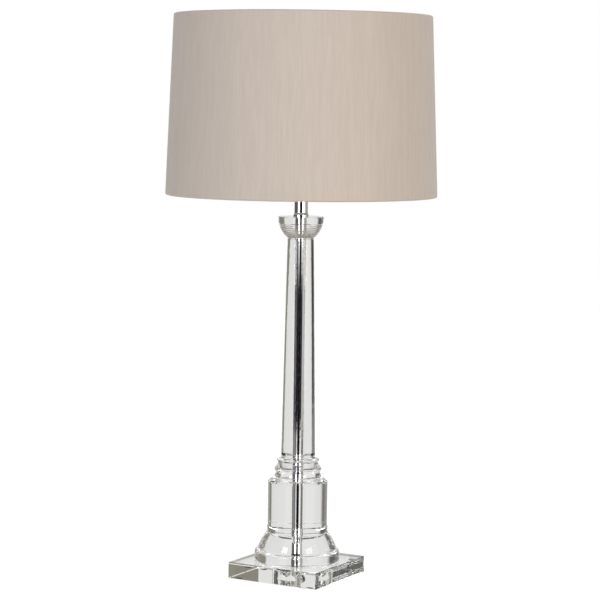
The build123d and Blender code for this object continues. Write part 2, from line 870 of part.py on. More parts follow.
# ---- Shade: fabric rolled over a wire ring at each end, with a stiff lining inside ----
lining_outside = fabric + gap
wire_depth = fabric + 2 * gap + lining + ring_wire / 2
leg_high = hem_high - hem_leg
leg_low = hem_low + hem_leg
arm_end = shade_radius(hem_low) - wire_depth - ring_wire / 2 - slip
hem_flat = hem_flat_share * hem
with BuildPart() as shade_fabric:
    with BuildSketch(Plane.XZ):
        with BuildLine():
            Polyline(
                wall_point(0, hem_low),
                wall_point(0, hem_high),
                wall_point(hem_flat, shade_top),
                wall_point(2 * hem - hem_flat, shade_top),
                wall_point(2 * hem, hem_high),
                wall_point(2 * hem, leg_high),
                wall_point(2 * hem - fabric, leg_high),
                wall_point(2 * hem - fabric, hem_high),
                wall_point(2 * hem - hem_flat, shade_top - fabric),
                wall_point(hem_flat, shade_top - fabric),
                wall_point(fabric, hem_high),
                wall_point(fabric, hem_low),
                wall_point(hem_flat, shade_bottom + fabric),
                wall_point(2 * hem - hem_flat, shade_bottom + fabric),
                wall_point(2 * hem - fabric, hem_low),
                wall_point(2 * hem - fabric, leg_low),
                wall_point(2 * hem, leg_low),
                wall_point(2 * hem, hem_low),
                wall_point(2 * hem - hem_flat, shade_bottom),
                wall_point(hem_flat, shade_bottom),
                close=True,
            )
        make_face()
    revolve(axis=Axis.Z)
    for arm in range(arm_count):
        turn = arm_start_angle + arm * 360 / arm_count
        outward = Vector(cos(radians(turn)), sin(radians(turn)), 0)
        slot_start = outward * (shade_radius(hem_low) - 2 * hem - slot_reach)
        with BuildSketch(Plane(origin=slot_start + Vector(0, 0, hem_low), z_dir=outward)):
            Circle(arm_wire / 2 + gap)
        extrude(amount=slot_reach + fabric + gap, mode=Mode.SUBTRACT)
save(shade_fabric, "shade_fabric")

with BuildPart() as shade_liner:
    with BuildSketch(Plane.XZ):
        with BuildLine():
            Polyline(
                wall_point(lining_outside, hem_low),
                wall_point(lining_outside, hem_high),
                wall_point(lining_outside + lining, hem_high),
                wall_point(lining_outside + lining, hem_low),
                close=True,
            )
        make_face()
    revolve(axis=Axis.Z)
save(shade_liner, "shade_liner")


def wire_ring(level):
    """A wire ring inside one of the shade's hems, drawn with six flats since the hem hides it."""
    with BuildPart() as ring:
        with BuildSketch(Plane.XZ):
            with Locations(wall_point(wire_depth, level)):
                RegularPolygon(ring_wire / 2, 6)
        revolve(axis=Axis.Z)
    return ring


shade_top_ring = wire_ring(hem_high)
save(shade_top_ring, "shade_top_ring")

shade_bottom_ring = wire_ring(hem_low)
save(shade_bottom_ring, "shade_bottom_ring")

# ---- Carrier: centre ring between the shade rings, and three arms welded under it ----
carrier_ring = turned_ring(
    carrier_diameter, carrier_hole_diameter, carrier_bottom, carrier_thickness
)
save(carrier_ring, "carrier_ring")

arm_high = carrier_bottom - arm_wire / 2
arm_inner = shade_ring_diameter / 2 + gap
with BuildPart() as arm:
    with BuildLine(Plane.XZ):
        arm_path = FilletPolyline(
            (arm_inner, arm_high),
            (carrier_diameter / 2 + arm_level, arm_high),
            (arm_end - arm_run_in, hem_low),
            (arm_end, hem_low),
            radius=arm_bend,
        )
    with BuildSketch(Plane(origin=arm_path @ 0, z_dir=arm_path % 0)):
        Circle(arm_wire / 2)
    sweep(path=arm_path)

with BuildPart() as carrier_arms:
    with PolarLocations(0, arm_count, start_angle=arm_start_angle):
        add(arm.part)
save(carrier_arms, "carrier_arms")
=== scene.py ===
# %% [markdown]
# # A crystal candlestick lamp
#
# The lamp is a stack of turned crystal blocks on a square crystal plinth. A hollow rod in a
# chrome sleeve clamps the stack from end to end, and carries a chrome neck, a switched
# lampholder, a bulb and a large drum shade in taupe silk. The solid parts come from the CAD
# model, already at their real size. This script gives them their looks: what crystal, chrome
# and silk do to light, and the small forms, such as threads and rolled hems, that a CAD solid
# leaves out.
#
# Each step starts with a few sentences on what the piece is and why it is made this way.

# %% Load the CAD parts from model.glb
from math import ceil, cos, floor, hypot, pi, radians, sin

import bmesh
import bpy
import numpy as np
from mathutils import Matrix, Vector


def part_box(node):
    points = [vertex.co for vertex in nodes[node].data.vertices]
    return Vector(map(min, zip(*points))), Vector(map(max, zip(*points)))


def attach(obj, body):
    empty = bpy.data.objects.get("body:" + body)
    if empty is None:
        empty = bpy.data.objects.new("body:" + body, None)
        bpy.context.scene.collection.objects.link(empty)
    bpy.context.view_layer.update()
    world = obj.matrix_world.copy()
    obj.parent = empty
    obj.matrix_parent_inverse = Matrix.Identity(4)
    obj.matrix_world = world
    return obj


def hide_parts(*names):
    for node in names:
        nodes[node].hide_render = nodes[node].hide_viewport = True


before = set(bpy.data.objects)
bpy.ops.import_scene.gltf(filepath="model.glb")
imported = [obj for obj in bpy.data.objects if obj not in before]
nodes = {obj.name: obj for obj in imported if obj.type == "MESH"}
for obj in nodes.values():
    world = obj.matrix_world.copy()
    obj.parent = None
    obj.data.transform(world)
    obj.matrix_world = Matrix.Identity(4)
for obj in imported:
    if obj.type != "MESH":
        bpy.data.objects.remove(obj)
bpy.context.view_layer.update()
MM = 0.001

# %% [markdown]
# ## Camera
#
# The photograph was taken with a long lens from over three metres away, a little to the lamp's
# right and slightly above the middle of the column. A long lens keeps the upright lines nearly
# parallel. The camera leans by less than a degree, as one on a tripod often does. Its place is
# one product of simple moves, read from right to left: lean, nod down, step back, walk round.

# %% Camera
CAMERA_DISTANCE = 3.261
CAMERA_HEIGHT = 0.718
CAMERA_AZIMUTH = radians(29.87)
CAMERA_TILT = radians(5.216)
CAMERA_ROLL = radians(0.7)
CAMERA_LENS = 130.96

camera_data = bpy.data.cameras.new("camera")
camera_data.lens = CAMERA_LENS
camera_data.sensor_width = 36
camera_data.clip_start = 0.1
camera_data.clip_end = 50
camera = bpy.data.objects.new("camera", camera_data)
bpy.context.scene.collection.objects.link(camera)
camera.rotation_mode = "QUATERNION"
walk_round = Matrix.Rotation(CAMERA_AZIMUTH, 4, "Z")
step_back = Matrix.Translation((0, -CAMERA_DISTANCE, CAMERA_HEIGHT))
nod = Matrix.Rotation(pi / 2 - CAMERA_TILT, 4, "X")
lean = Matrix.Rotation(CAMERA_ROLL, 4, "Z")
camera_place = walk_round @ step_back @ nod @ lean
camera.location = camera_place.to_translation()
camera.rotation_quaternion = camera_place.to_quaternion()
bpy.context.scene.camera = camera
print("camera at", [round(x, 3) for x in camera.location])

# %% [markdown]
# ## Shader nodes by name
#
# Every finish below is a small tree of shader nodes. Written out one call at a time, such trees
# are long and hard to read, so three short helpers say the same thing in one line each. A value
# that is another node's output becomes a link, and any other value is set on the socket.

# %% Helpers for shader nodes
def add_node(tree, kind, settings=None, values=None):
    """Adds a shader node. Settings are its own options, and values fill its inputs or link to them."""
    made = tree.nodes.new("ShaderNode" + kind)
    for name, value in (settings or {}).items():
        setattr(made, name, value)
    for name, value in (values or {}).items():
        if isinstance(value, bpy.types.NodeSocket):
            tree.links.new(value, made.inputs[name])
        else:
            made.inputs[name].default_value = value
    return made


def sum_up(tree, operation, *values):
    """The result of a Math node. Each value is a number or another node's output."""
    made = add_node(tree, "Math", {"operation": operation}, dict(enumerate(values)))
    return made.outputs[0]


def fade(tree, value, low, high):
    """Goes smoothly from 0 to 1 as value goes from low to high."""
    values = {"Value": value, "From Min": low, "From Max": high}
    made = add_node(tree, "MapRange", {"interpolation_type": "SMOOTHSTEP"}, values)
    return made.outputs["Result"]


def blend_colours(tree, factor, first, second):
    """The first colour where factor is 0 and the second where it is 1."""
    values = {"Factor": factor, "A": first, "B": second}
    made = add_node(tree, "Mix", {"data_type": "RGBA"}, values)
    return made.outputs["Result"]


def split(tree, vector):
    """The X, Y and Z of a vector."""
    return add_node(tree, "SeparateXYZ", values={0: vector}).outputs


def blend_shaders(tree, factor, first, second):
    """The first shader where factor is 0 and the second where it is 1."""
    return add_node(tree, "MixShader", values={0: factor, 1: first, 2: second}).outputs[0]


# %% [markdown]
# ## Studio
#
# Clear crystal has no colour of its own. All that is seen in it is the room: the pale paper
# behind the lamp, the dim sides of the studio, the dark front edge of the table and two soft
# lamps. So the room is made first, as light and dark bands round the horizon, painted on the
# world by direction: one row of bands for the walls, one for the table's dark edge just under
# the horizon, and one for the floor below that. The pale paper hangs in front of them, and is
# narrowest level with the lamp. The picture's own background stays white, because only rays
# that leave the camera straight for it see the plain white.

# %% Bands of the room
PAPER = (0.80, 0.80, 0.79, 1)
OLIVE_SIDE = (0.26, 0.25, 0.205)
GREY_WALL = (0.50, 0.50, 0.49)
LIT_SIDE = (1.0, 0.99, 0.97)
DARK_ROOM = (0.006, 0.006, 0.010)
DARK_SIDE = (0.10, 0.10, 0.096)
BROWN_EDGE = (0.035, 0.027, 0.022)
DIM_FLOOR = (0.11, 0.11, 0.10)
LEFT_FLOOR = (0.19, 0.18, 0.175)
# Degrees to the right of the way the camera looks, and what starts there.
WALL_BANDS = [
    (-180, DARK_ROOM),
    (-160, LIT_SIDE),
    (-129, DARK_SIDE),
    (0, OLIVE_SIDE),
    (76, GREY_WALL),
    (109, LIT_SIDE),
    (158, DARK_ROOM),
]
TABLE_BANDS = [
    (-180, DARK_ROOM),
    (-100, BROWN_EDGE),
    (0, OLIVE_SIDE),
    (76, GREY_WALL),
    (120, DARK_ROOM),
]
FLOOR_BANDS = [
    (-180, DARK_ROOM),
    (-152, LIT_SIDE),
    (-132, LEFT_FLOOR),
    (0, OLIVE_SIDE),
    (76, DIM_FLOOR),
    (109, LIT_SIDE),
    (150, DARK_ROOM),
]
print("studio bands:", len(WALL_BANDS), len(TABLE_BANDS), len(FLOOR_BANDS))

# %% Paint the bands on the world, by direction
BAND_BLUR = 4
TABLE_EDGE_LOW = radians(-9.6)
TABLE_EDGE_HIGH = radians(-5.6)
LOW_BLUR = radians(0.3)
HIGH_BLUR = radians(0.7)

world = bpy.data.worlds.new("studio")
bpy.context.scene.world = world
world.use_nodes = True
studio = world.node_tree
studio.nodes.clear()


def paint_bands(bands, turn):
    """Colours by direction: each band starts at its angle, with a short blur into the next."""
    made = add_node(studio, "ValToRGB", values={"Fac": turn})
    stops = []
    for index, (start, colour) in enumerate(bands):
        end = bands[index + 1][0] if index + 1 < len(bands) else 180
        stops.append((start + BAND_BLUR / 2 * (index > 0), colour))
        stops.append((end - BAND_BLUR / 2, colour))
    ramp = made.color_ramp
    while len(ramp.elements) < len(stops):
        ramp.elements.new(0.5)
    for element, (degrees_right, colour) in zip(ramp.elements, stops):
        element.position = (degrees_right + 180) / 360
        element.color = (*colour, 1)
    return made.outputs["Color"]


direction = add_node(studio, "TexCoord").outputs["Generated"]
to_camera_way = {"Vector": direction, "Angle": -CAMERA_AZIMUTH}
facing = add_node(studio, "VectorRotate", {"rotation_type": "Z_AXIS"}, to_camera_way)
ways = split(studio, facing.outputs[0])
around = sum_up(studio, "ARCTAN2", ways["X"], ways["Y"])
above = sum_up(studio, "ARCSINE", ways["Z"])
whole_turn = {"Value": around, "From Min": -pi, "From Max": pi}
turn = add_node(studio, "MapRange", values=whole_turn).outputs["Result"]
over_low = fade(studio, above, TABLE_EDGE_LOW - LOW_BLUR, TABLE_EDGE_LOW + LOW_BLUR)
over_high = fade(studio, above, TABLE_EDGE_HIGH - HIGH_BLUR, TABLE_EDGE_HIGH + HIGH_BLUR)
sides = blend_colours(studio, over_low, paint_bands(FLOOR_BANDS, turn), paint_bands(TABLE_BANDS, turn))
sides = blend_colours(studio, over_high, sides, paint_bands(WALL_BANDS, turn))
print("world nodes so far:", len(studio.nodes))

# %% The paper, in front of the bands
# Its left and right edges, in degrees from the middle: low down, level, and high up.
PAPER_LEFT = (44, 38, 50)
PAPER_RIGHT = (52, 36, 50)
# The heights between which its edges go from one of these to the next.
LOW_TO_LEVEL = radians(-8), radians(-3.5)
LEVEL_TO_HIGH = radians(14), radians(20)
PAPER_BLUR_LEFT = radians(5)
PAPER_BLUR_RIGHT = radians(2)
# Matt surfaces get a little more of the room's light, as from bright walls farther off.
MATT_GAIN = 0.13
WHITE = (1, 1, 1, 1)
rising = fade(studio, above, *LOW_TO_LEVEL)
high_up = fade(studio, above, *LEVEL_TO_HIGH)


def paper_edge(widths, inward, blur):
    """From 0 outside one edge of the paper to 1 inside it. The edge changes with the height."""
    low, level, high = (radians(width) for width in widths)
    edge = sum_up(studio, "MULTIPLY_ADD", rising, level - low, low)
    edge = sum_up(studio, "MULTIPLY_ADD", high_up, high - level, edge)
    return fade(studio, sum_up(studio, "MULTIPLY_ADD", around, inward, edge), -blur, blur)


left_edge = paper_edge(PAPER_LEFT, 1, PAPER_BLUR_LEFT)
right_edge = paper_edge(PAPER_RIGHT, -1, PAPER_BLUR_RIGHT)
room = blend_colours(studio, sum_up(studio, "MULTIPLY", left_edge, right_edge), sides, PAPER)
rays = add_node(studio, "LightPath").outputs
seen = blend_colours(studio, rays["Is Camera Ray"], room, WHITE)
room_light = sum_up(studio, "MULTIPLY_ADD", rays["Is Diffuse Ray"], MATT_GAIN, 1)
background = add_node(studio, "Background", values={"Color": seen, "Strength": room_light})
add_node(studio, "OutputWorld", values={"Surface": background.outputs[0]})
print("world nodes in all:", len(studio.nodes))

# %% Two soft lamps, behind the camera on its right and left
LAMP_DISTANCE = 1.6
LAMP_HEIGHT = 0.82
LAMP_TALL = 0.9


def soft_lamp(name, degrees_right, width, power, colour):
    """A rectangular soft lamp, its direction in degrees right of the way the camera looks."""
    data = bpy.data.lights.new(name, "AREA")
    data.shape = "RECTANGLE"
    data.size = width
    data.size_y = LAMP_TALL
    data.energy = power
    data.color = colour
    lamp = bpy.data.objects.new(name, data)
    bpy.context.scene.collection.objects.link(lamp)
    way = radians(degrees_right) - CAMERA_AZIMUTH
    lamp.location = (LAMP_DISTANCE * sin(way), LAMP_DISTANCE * cos(way), LAMP_HEIGHT)
    aim = Vector((0, 0, LAMP_HEIGHT)) - lamp.location
    lamp.rotation_mode = "QUATERNION"
    lamp.rotation_quaternion = aim.to_track_quat("-Z", "Y")
    print(name, "at", degrees_right, "degrees with", power, "W")


soft_lamp("lamp_right", 140, 0.62, 7.6, (1.0, 0.93, 0.82))
soft_lamp("lamp_left", -141, 0.5, 9, (0.96, 0.98, 1.0))

# %% [markdown]
# ## Floor
#
# The floor is the same white paper. Close to the lamp it is a real matt surface, so that it
# keeps the contact shadow, with a glow that lifts it to white. Farther out the glow takes over,
# so its edge can't be seen against the white background. Rays that come off glass or metal pass
# through it to the painted studio, which already holds the table and its dark edge. From below
# it is clear, so that the lamp's underside can be looked at too.

# %% Floor
FLOOR_HALF = 4
SHADOW_NEAR = 0.16
SHADOW_FAR = 0.5
NEAR_GLOW = 0.9
MATT_PAPER = 0.17

corners = [(-1, -1), (1, -1), (1, 1), (-1, 1)]
floor_mesh = bpy.data.meshes.new("floor")
floor_mesh.from_pydata([(x * FLOOR_HALF, y * FLOOR_HALF, 0) for x, y in corners], [], [(0, 1, 2, 3)])
floor_sheet = bpy.data.objects.new("floor", floor_mesh)
bpy.context.scene.collection.objects.link(floor_sheet)

floor_paper = bpy.data.materials.new("floor_paper")
floor_paper.use_nodes = True
tree = floor_paper.node_tree
tree.nodes.clear()
spot = add_node(tree, "TexCoord").outputs["Object"]
away = add_node(tree, "VectorMath", {"operation": "LENGTH"}, {0: spot}).outputs["Value"]
far = fade(tree, away, SHADOW_NEAR, SHADOW_FAR)
glow_level = add_node(tree, "MapRange", values={"Value": far, "To Min": NEAR_GLOW, "To Max": 1})
glow = add_node(tree, "Emission", values={"Strength": glow_level.outputs["Result"]})
matt = add_node(tree, "BsdfDiffuse", values={"Color": (MATT_PAPER, MATT_PAPER, MATT_PAPER, 1)})
seen_paper = add_node(tree, "AddShader", values={0: matt.outputs[0], 1: glow.outputs[0]})
plain_paper = add_node(tree, "BsdfDiffuse", values={"Color": PAPER}).outputs[0]
clear = add_node(tree, "BsdfTransparent").outputs[0]
path = add_node(tree, "LightPath").outputs
off_glass = sum_up(tree, "MAXIMUM", path["Is Glossy Ray"], path["Is Transmission Ray"])
unseen = blend_shaders(tree, off_glass, plain_paper, clear)
from_above = blend_shaders(tree, path["Is Camera Ray"], unseen, seen_paper.outputs[0])
underneath = add_node(tree, "NewGeometry").outputs["Backfacing"]
one_sided = blend_shaders(tree, underneath, from_above, clear)
add_node(tree, "OutputMaterial", values={0: one_sided})
floor_mesh.materials.append(floor_paper)
print("floor:", 2 * FLOOR_HALF, "m square")

# %% [markdown]
# ## Effects that several finishes share
#
# Real surfaces are never quite even: polish carries smudges, turned metal has fine rings, edges
# rub bright and dust lies on what faces up. Each effect is a node group, built once, with its
# own inputs, so that every material can use it at its own scale. The groups put out only masks
# and heights. The shaders stay in the materials.

# %% A helper for node groups
def new_group(name, inputs, outputs):
    """An empty shader node group with named number sockets. Returns it with its two ends."""
    group = bpy.data.node_groups.new(name, "ShaderNodeTree")
    for label, value in inputs.items():
        socket = group.interface.new_socket(label, in_out="INPUT", socket_type="NodeSocketFloat")
        socket.default_value = value
    for label in outputs:
        group.interface.new_socket(label, in_out="OUTPUT", socket_type="NodeSocketFloat")
    start = group.nodes.new("NodeGroupInput")
    end = group.nodes.new("NodeGroupOutput")
    print("node group:", name)
    return group, start.outputs, end.inputs


def noise(tree, place, scale, detail=4, roughness=0.5):
    """A cloudy pattern from 0 to 1, its scale in clouds per metre."""
    values = {"Vector": place, "Scale": scale, "Detail": detail, "Roughness": roughness}
    return add_node(tree, "TexNoise", values=values).outputs["Fac"]


def object_place(tree):
    """Where a point lies on its own piece, so that a pattern moves with the piece."""
    return add_node(tree, "TexCoord").outputs["Object"]


def stretched(tree, place, scale):
    """The place, scaled by its own number along X, Y and Z."""
    return add_node(tree, "VectorMath", {"operation": "MULTIPLY"}, {0: place, 1: scale}).outputs[0]


# %% Smudges on polished surfaces
smudges, given, results = new_group("smudges", {"Scale": 30, "Cover": 0.5}, ["Mask"])
tree = smudges
place = object_place(tree)
clouds = noise(tree, place, given["Scale"], 6, 0.6)
edge_low = sum_up(tree, "SUBTRACT", 0.75, sum_up(tree, "MULTIPLY", given["Cover"], 0.5))
patches = fade(tree, clouds, edge_low, 0.8)
tree.links.new(patches, results["Mask"])

# %% Fine scratches, long and thin, in two directions
scratches, given, results = new_group("fine_scratches", {"Scale": 60, "Depth": 1}, ["Mask", "Height"])
tree = scratches
place = object_place(tree)
sloping = noise(tree, stretched(tree, place, (1, 9, 1.4)), given["Scale"], 2)
upright = noise(tree, stretched(tree, place, (8, 1, 7)), given["Scale"], 2)
thin_sloping = fade(tree, sloping, 0.6, 0.66)
lines = sum_up(tree, "MAXIMUM", thin_sloping, fade(tree, upright, 0.62, 0.68))
tree.links.new(lines, results["Mask"])
tree.links.new(sum_up(tree, "MULTIPLY", lines, given["Depth"]), results["Height"])

# %% Turned lines, which run round the axis as the lathe's tool left them
turned_lines, given, results = new_group("turned_lines", {"Pitch": 0.3 * MM}, ["Mask", "Height"])
tree = turned_lines
parts = split(tree, object_place(tree))
flat_x = sum_up(tree, "MULTIPLY", parts["X"], parts["X"])
out = sum_up(tree, "SQRT", sum_up(tree, "MULTIPLY_ADD", parts["Y"], parts["Y"], flat_x))
along = sum_up(tree, "ADD", out, parts["Z"])
count = sum_up(tree, "DIVIDE", along, given["Pitch"])
tool_mark = add_node(tree, "TexNoise", {"noise_dimensions": "1D"}, {"W": count, "Scale": 1.0})
tree.links.new(tool_mark.outputs["Fac"], results["Mask"])
tree.links.new(tool_mark.outputs["Fac"], results["Height"])

# %% Worn edges, where the rounded normal leaves the true one
edge_wear, given, results = new_group("edge_wear", {"Width": 0.4 * MM, "Scale": 300}, ["Mask"])
tree = edge_wear
rounded = add_node(tree, "Bevel", values={"Radius": given["Width"]}).outputs[0]
true = add_node(tree, "NewGeometry").outputs["Normal"]
match = add_node(tree, "VectorMath", {"operation": "DOT_PRODUCT"}, {0: rounded, 1: true})
edge_near = fade(tree, sum_up(tree, "SUBTRACT", 1, match.outputs["Value"]), 0.01, 0.12)
broken = fade(tree, noise(tree, object_place(tree), given["Scale"]), 0.35, 0.65)
tree.links.new(sum_up(tree, "MULTIPLY", edge_near, broken), results["Mask"])

# %% Dust on what faces up
dust, given, results = new_group("dust", {"Amount": 0.5}, ["Mask"])
tree = dust
normal = add_node(tree, "NewGeometry").outputs["Normal"]
upward = fade(tree, split(tree, normal)["Z"], 0.4, 0.95)
specks = fade(tree, noise(tree, object_place(tree), 900, 2), 0.45, 0.7)
film = sum_up(tree, "MULTIPLY", upward, sum_up(tree, "MULTIPLY_ADD", specks, 0.6, 0.4))
tree.links.new(sum_up(tree, "MULTIPLY", film, given["Amount"]), results["Mask"])

# %% Fine grain, for moulded, cast and painted surfaces
fine_grain, given, results = new_group("fine_grain", {"Scale": 1500}, ["Mask", "Height"])
tree = fine_grain
grain = noise(tree, object_place(tree), given["Scale"], 3)
tree.links.new(fade(tree, grain, 0.3, 0.7), results["Mask"])
tree.links.new(grain, results["Height"])

# %% [markdown]
# Slub silk is woven from thread of uneven thickness. Each thick stretch, a slub, shows as a
# soft upright streak, and close up there is the plain weave of upright and level threads. The
# weave counts a whole number of threads round the shade, so that it closes without a join.

# %% Slub weave
slub_weave, given, results = new_group(
    "slub_weave", {"Threads": 2070, "Pitch": 0.6 * MM}, ["Slubs", "Weave", "Height"]
)
tree = slub_weave
place = object_place(tree)
parts = split(tree, place)
angle = sum_up(tree, "ARCTAN2", parts["Y"], parts["X"])
warp = sum_up(tree, "SINE", sum_up(tree, "MULTIPLY", angle, given["Threads"]))
level = sum_up(tree, "DIVIDE", parts["Z"], given["Pitch"])
weft = sum_up(tree, "SINE", sum_up(tree, "MULTIPLY", level, 2 * pi))
crossing = sum_up(tree, "MULTIPLY", warp, weft)
narrow = noise(tree, stretched(tree, place, (520, 520, 16)), 1, 3)
wide = noise(tree, stretched(tree, place, (130, 130, 4)), 1, 3)
streaks = sum_up(tree, "MULTIPLY_ADD", narrow, 0.6, sum_up(tree, "MULTIPLY", wide, 0.4))
slubs = fade(tree, streaks, 0.36, 0.66)
tree.links.new(slubs, results["Slubs"])
tree.links.new(sum_up(tree, "MULTIPLY_ADD", crossing, 0.5, 0.5), results["Weave"])
thread_rise = sum_up(tree, "MULTIPLY_ADD", crossing, 0.3, slubs)
tree.links.new(thread_rise, results["Height"])

# %% [markdown]
# ## Finishes
#
# Each material slot of the record gets one material. Plain numbers, such as the index of
# refraction, stand on the shader's own sockets, and only what changes over the surface comes
# from the groups: a little colour, the roughness and the fine relief.

# %% Helpers for finishes
finishes = {}


def new_finish(slot_name, values):
    """A material with one Principled surface. Returns its node tree and that surface."""
    made = bpy.data.materials.new(slot_name)
    made.use_nodes = True
    surface = made.node_tree.nodes["Principled BSDF"]
    for socket, value in values.items():
        surface.inputs[socket].default_value = value
    finishes[slot_name] = made
    print("finish:", slot_name)
    return made.node_tree, surface


def effect(tree, group, values=None):
    """One of the shared groups, placed in a material with its own numbers."""
    made = tree.nodes.new("ShaderNodeGroup")
    made.node_tree = group
    for name, value in (values or {}).items():
        made.inputs[name].default_value = value
    return made.outputs


def colour_from(tree, surface, mask, first, second):
    """Colours the surface from first, where the mask is 0, to second, where it is 1."""
    colour = blend_colours(tree, mask, (*first, 1), (*second, 1))
    tree.links.new(colour, surface.inputs["Base Color"])


def layered_colour(tree, surface, mask, first, second, upper_mask, upper):
    """Colours the surface from first to second, with a third colour laid over it by a mask."""
    lower = blend_colours(tree, mask, (*first, 1), (*second, 1))
    colour = blend_colours(tree, upper_mask, lower, (*upper, 1))
    tree.links.new(colour, surface.inputs["Base Color"])


def roughness_from(tree, surface, mask, low, high):
    """Makes the surface rougher from low, where the mask is 0, to high, where it is 1."""
    made = add_node(tree, "MapRange", values={"Value": mask, "To Min": low, "To Max": high})
    tree.links.new(made.outputs["Result"], surface.inputs["Roughness"])


def relief_from(tree, surface, height, depth, strength=1):
    """Raises the surface by up to a depth in metres."""
    bump = add_node(tree, "Bump", values={"Height": height, "Distance": depth, "Strength": strength})
    tree.links.new(bump.outputs["Normal"], surface.inputs["Normal"])


def let_lamps_through(tree, surface):
    """Shadow rays pass straight through, because a glass block throws hardly any shadow."""
    shadow = add_node(tree, "LightPath").outputs["Is Shadow Ray"]
    open_way = add_node(tree, "BsdfTransparent").outputs[0]
    both = blend_shaders(tree, shadow, surface.outputs[0], open_way)
    tree.links.new(both, tree.nodes["Material Output"].inputs["Surface"])


def even_finish(slot_name, values, group, settings, colours, roughness, relief=0):
    """A finish in which one shared effect alone changes the colour, roughness and relief."""
    tree, surface = new_finish(slot_name, values)
    given = effect(tree, group, settings)
    colour_from(tree, surface, given["Mask"], *colours)
    roughness_from(tree, surface, given["Mask"], *roughness)
    if relief:
        relief_from(tree, surface, given["Height"], relief)
    return tree, surface


# %% Crystal: optical glass, polished all over, with a trace of smudge
tree, surface = even_finish(
    "crystal",
    {"Transmission Weight": 1, "IOR": 1.517},
    smudges,
    {"Scale": 28, "Cover": 0.4},
    ((1, 1, 1), (0.985, 0.985, 0.98)),
    (0.0, 0.008),
)
let_lamps_through(tree, surface)

# %% Clear plastic of the feet, washers and grommet
tree, surface = even_finish(
    "clear_plastic",
    {"Transmission Weight": 1, "IOR": 1.49},
    fine_grain,
    {"Scale": 700},
    ((0.98, 0.985, 0.98), (0.94, 0.95, 0.945)),
    (0.03, 0.12),
)
let_lamps_through(tree, surface)

# %% Bright chrome: hardly any texture, but smudges, wipe scratches and a trace of the lathe
tree, surface = new_finish("chrome", {"Metallic": 1})
touched = effect(tree, smudges, {"Scale": 60, "Cover": 0.6})
wiped = effect(tree, scratches, {"Scale": 120, "Depth": 0.3})
lathe = effect(tree, turned_lines, {"Pitch": 0.25 * MM})
uneven = sum_up(tree, "MAXIMUM", touched["Mask"], sum_up(tree, "MULTIPLY", wiped["Mask"], 0.5))
roughness_from(tree, surface, uneven, 0.015, 0.08)
colour_from(tree, surface, uneven, (0.90, 0.90, 0.91), (0.82, 0.82, 0.83))
relief = sum_up(tree, "ADD", wiped["Height"], sum_up(tree, "MULTIPLY", lathe["Height"], 0.4))
relief_from(tree, surface, relief, 0.002 * MM, 0.5)

# %% Zinc plated steel, with a faint warm cast and turned rings
tree, surface = new_finish("zinc_steel", {"Metallic": 1})
lathe = effect(tree, turned_lines, {"Pitch": 0.4 * MM})
worn = effect(tree, edge_wear, {"Width": 0.3 * MM, "Scale": 500})
clouded = effect(tree, fine_grain, {"Scale": 220})
ZINC = (0.62, 0.60, 0.54), (0.68, 0.69, 0.70)
layered_colour(tree, surface, clouded["Mask"], *ZINC, worn["Mask"], (0.86, 0.86, 0.84))
roughness_from(tree, surface, lathe["Mask"], 0.22, 0.42)
relief_from(tree, surface, lathe["Height"], 0.01 * MM)

# %% Black rubber of the gasket, with a bloom of dust
rubber_colours = ((0.018, 0.018, 0.018), (0.05, 0.05, 0.048))
even_finish(
    "black_rubber", {"IOR": 1.5}, fine_grain, {"Scale": 2200}, rubber_colours, (0.55, 0.8), 0.05 * MM
)

# %% Ceramic insert: unglazed steatite with fine specks
steatite_colours = ((0.87, 0.86, 0.81), (0.78, 0.76, 0.70))
even_finish(
    "ceramic", {"IOR": 1.55}, fine_grain, {"Scale": 1600}, steatite_colours, (0.35, 0.55), 0.02 * MM
)

# %% Brass of the contacts, duller where air has reached it
tree, surface = new_finish("contact_brass", {"Metallic": 1})
tarnish = effect(tree, smudges, {"Scale": 260, "Cover": 0.8})
worn = effect(tree, edge_wear, {"Width": 0.2 * MM, "Scale": 600})
BRASS = (0.82, 0.63, 0.30), (0.52, 0.37, 0.17)
layered_colour(tree, surface, tarnish["Mask"], *BRASS, worn["Mask"], (0.95, 0.80, 0.48))
roughness_from(tree, surface, tarnish["Mask"], 0.18, 0.42)
relief_from(tree, surface, tarnish["Mask"], 0.01 * MM)

# %% Satin black plastic of the switch
tree, surface = new_finish("switch_black", {"IOR": 1.5})
moulded = effect(tree, fine_grain, {"Scale": 2600})
worn = effect(tree, edge_wear, {"Width": 0.4 * MM, "Scale": 420})
colour_from(tree, surface, worn["Mask"], (0.02, 0.02, 0.022), (0.09, 0.09, 0.09))
roughness_from(tree, surface, moulded["Mask"], 0.28, 0.45)
relief_from(tree, surface, moulded["Height"], 0.02 * MM)

# %% Taupe slub silk: a soft sheen along the threads
SILK_LIGHT = (0.585, 0.513, 0.462)
SILK_DARK = (0.551, 0.479, 0.428)
tree, surface = new_finish(
    "silk", {"IOR": 1.45, "Sheen Weight": 0.55, "Sheen Roughness": 0.4, "Specular IOR Level": 0.25}
)
cloth = effect(tree, slub_weave)
shadowed = sum_up(tree, "MULTIPLY", cloth["Weave"], 0.12)
layered_colour(tree, surface, cloth["Slubs"], SILK_DARK, SILK_LIGHT, shadowed, (0.36, 0.31, 0.27))
roughness_from(tree, surface, cloth["Slubs"], 0.82, 0.62)
relief_from(tree, surface, cloth["Height"], 0.12 * MM, 0.6)

# %% Stiff lining behind the silk, with a fine embossed grain and a little dust
tree, surface = new_finish("shade_lining", {"IOR": 1.5})
emboss = effect(tree, fine_grain, {"Scale": 1100})
settled = effect(tree, dust, {"Amount": 0.5})
LINING = (0.70, 0.655, 0.59), (0.75, 0.71, 0.645)
layered_colour(tree, surface, emboss["Mask"], *LINING, settled["Mask"], (0.55, 0.53, 0.50))
roughness_from(tree, surface, emboss["Mask"], 0.42, 0.6)
relief_from(tree, surface, emboss["Height"], 0.05 * MM)

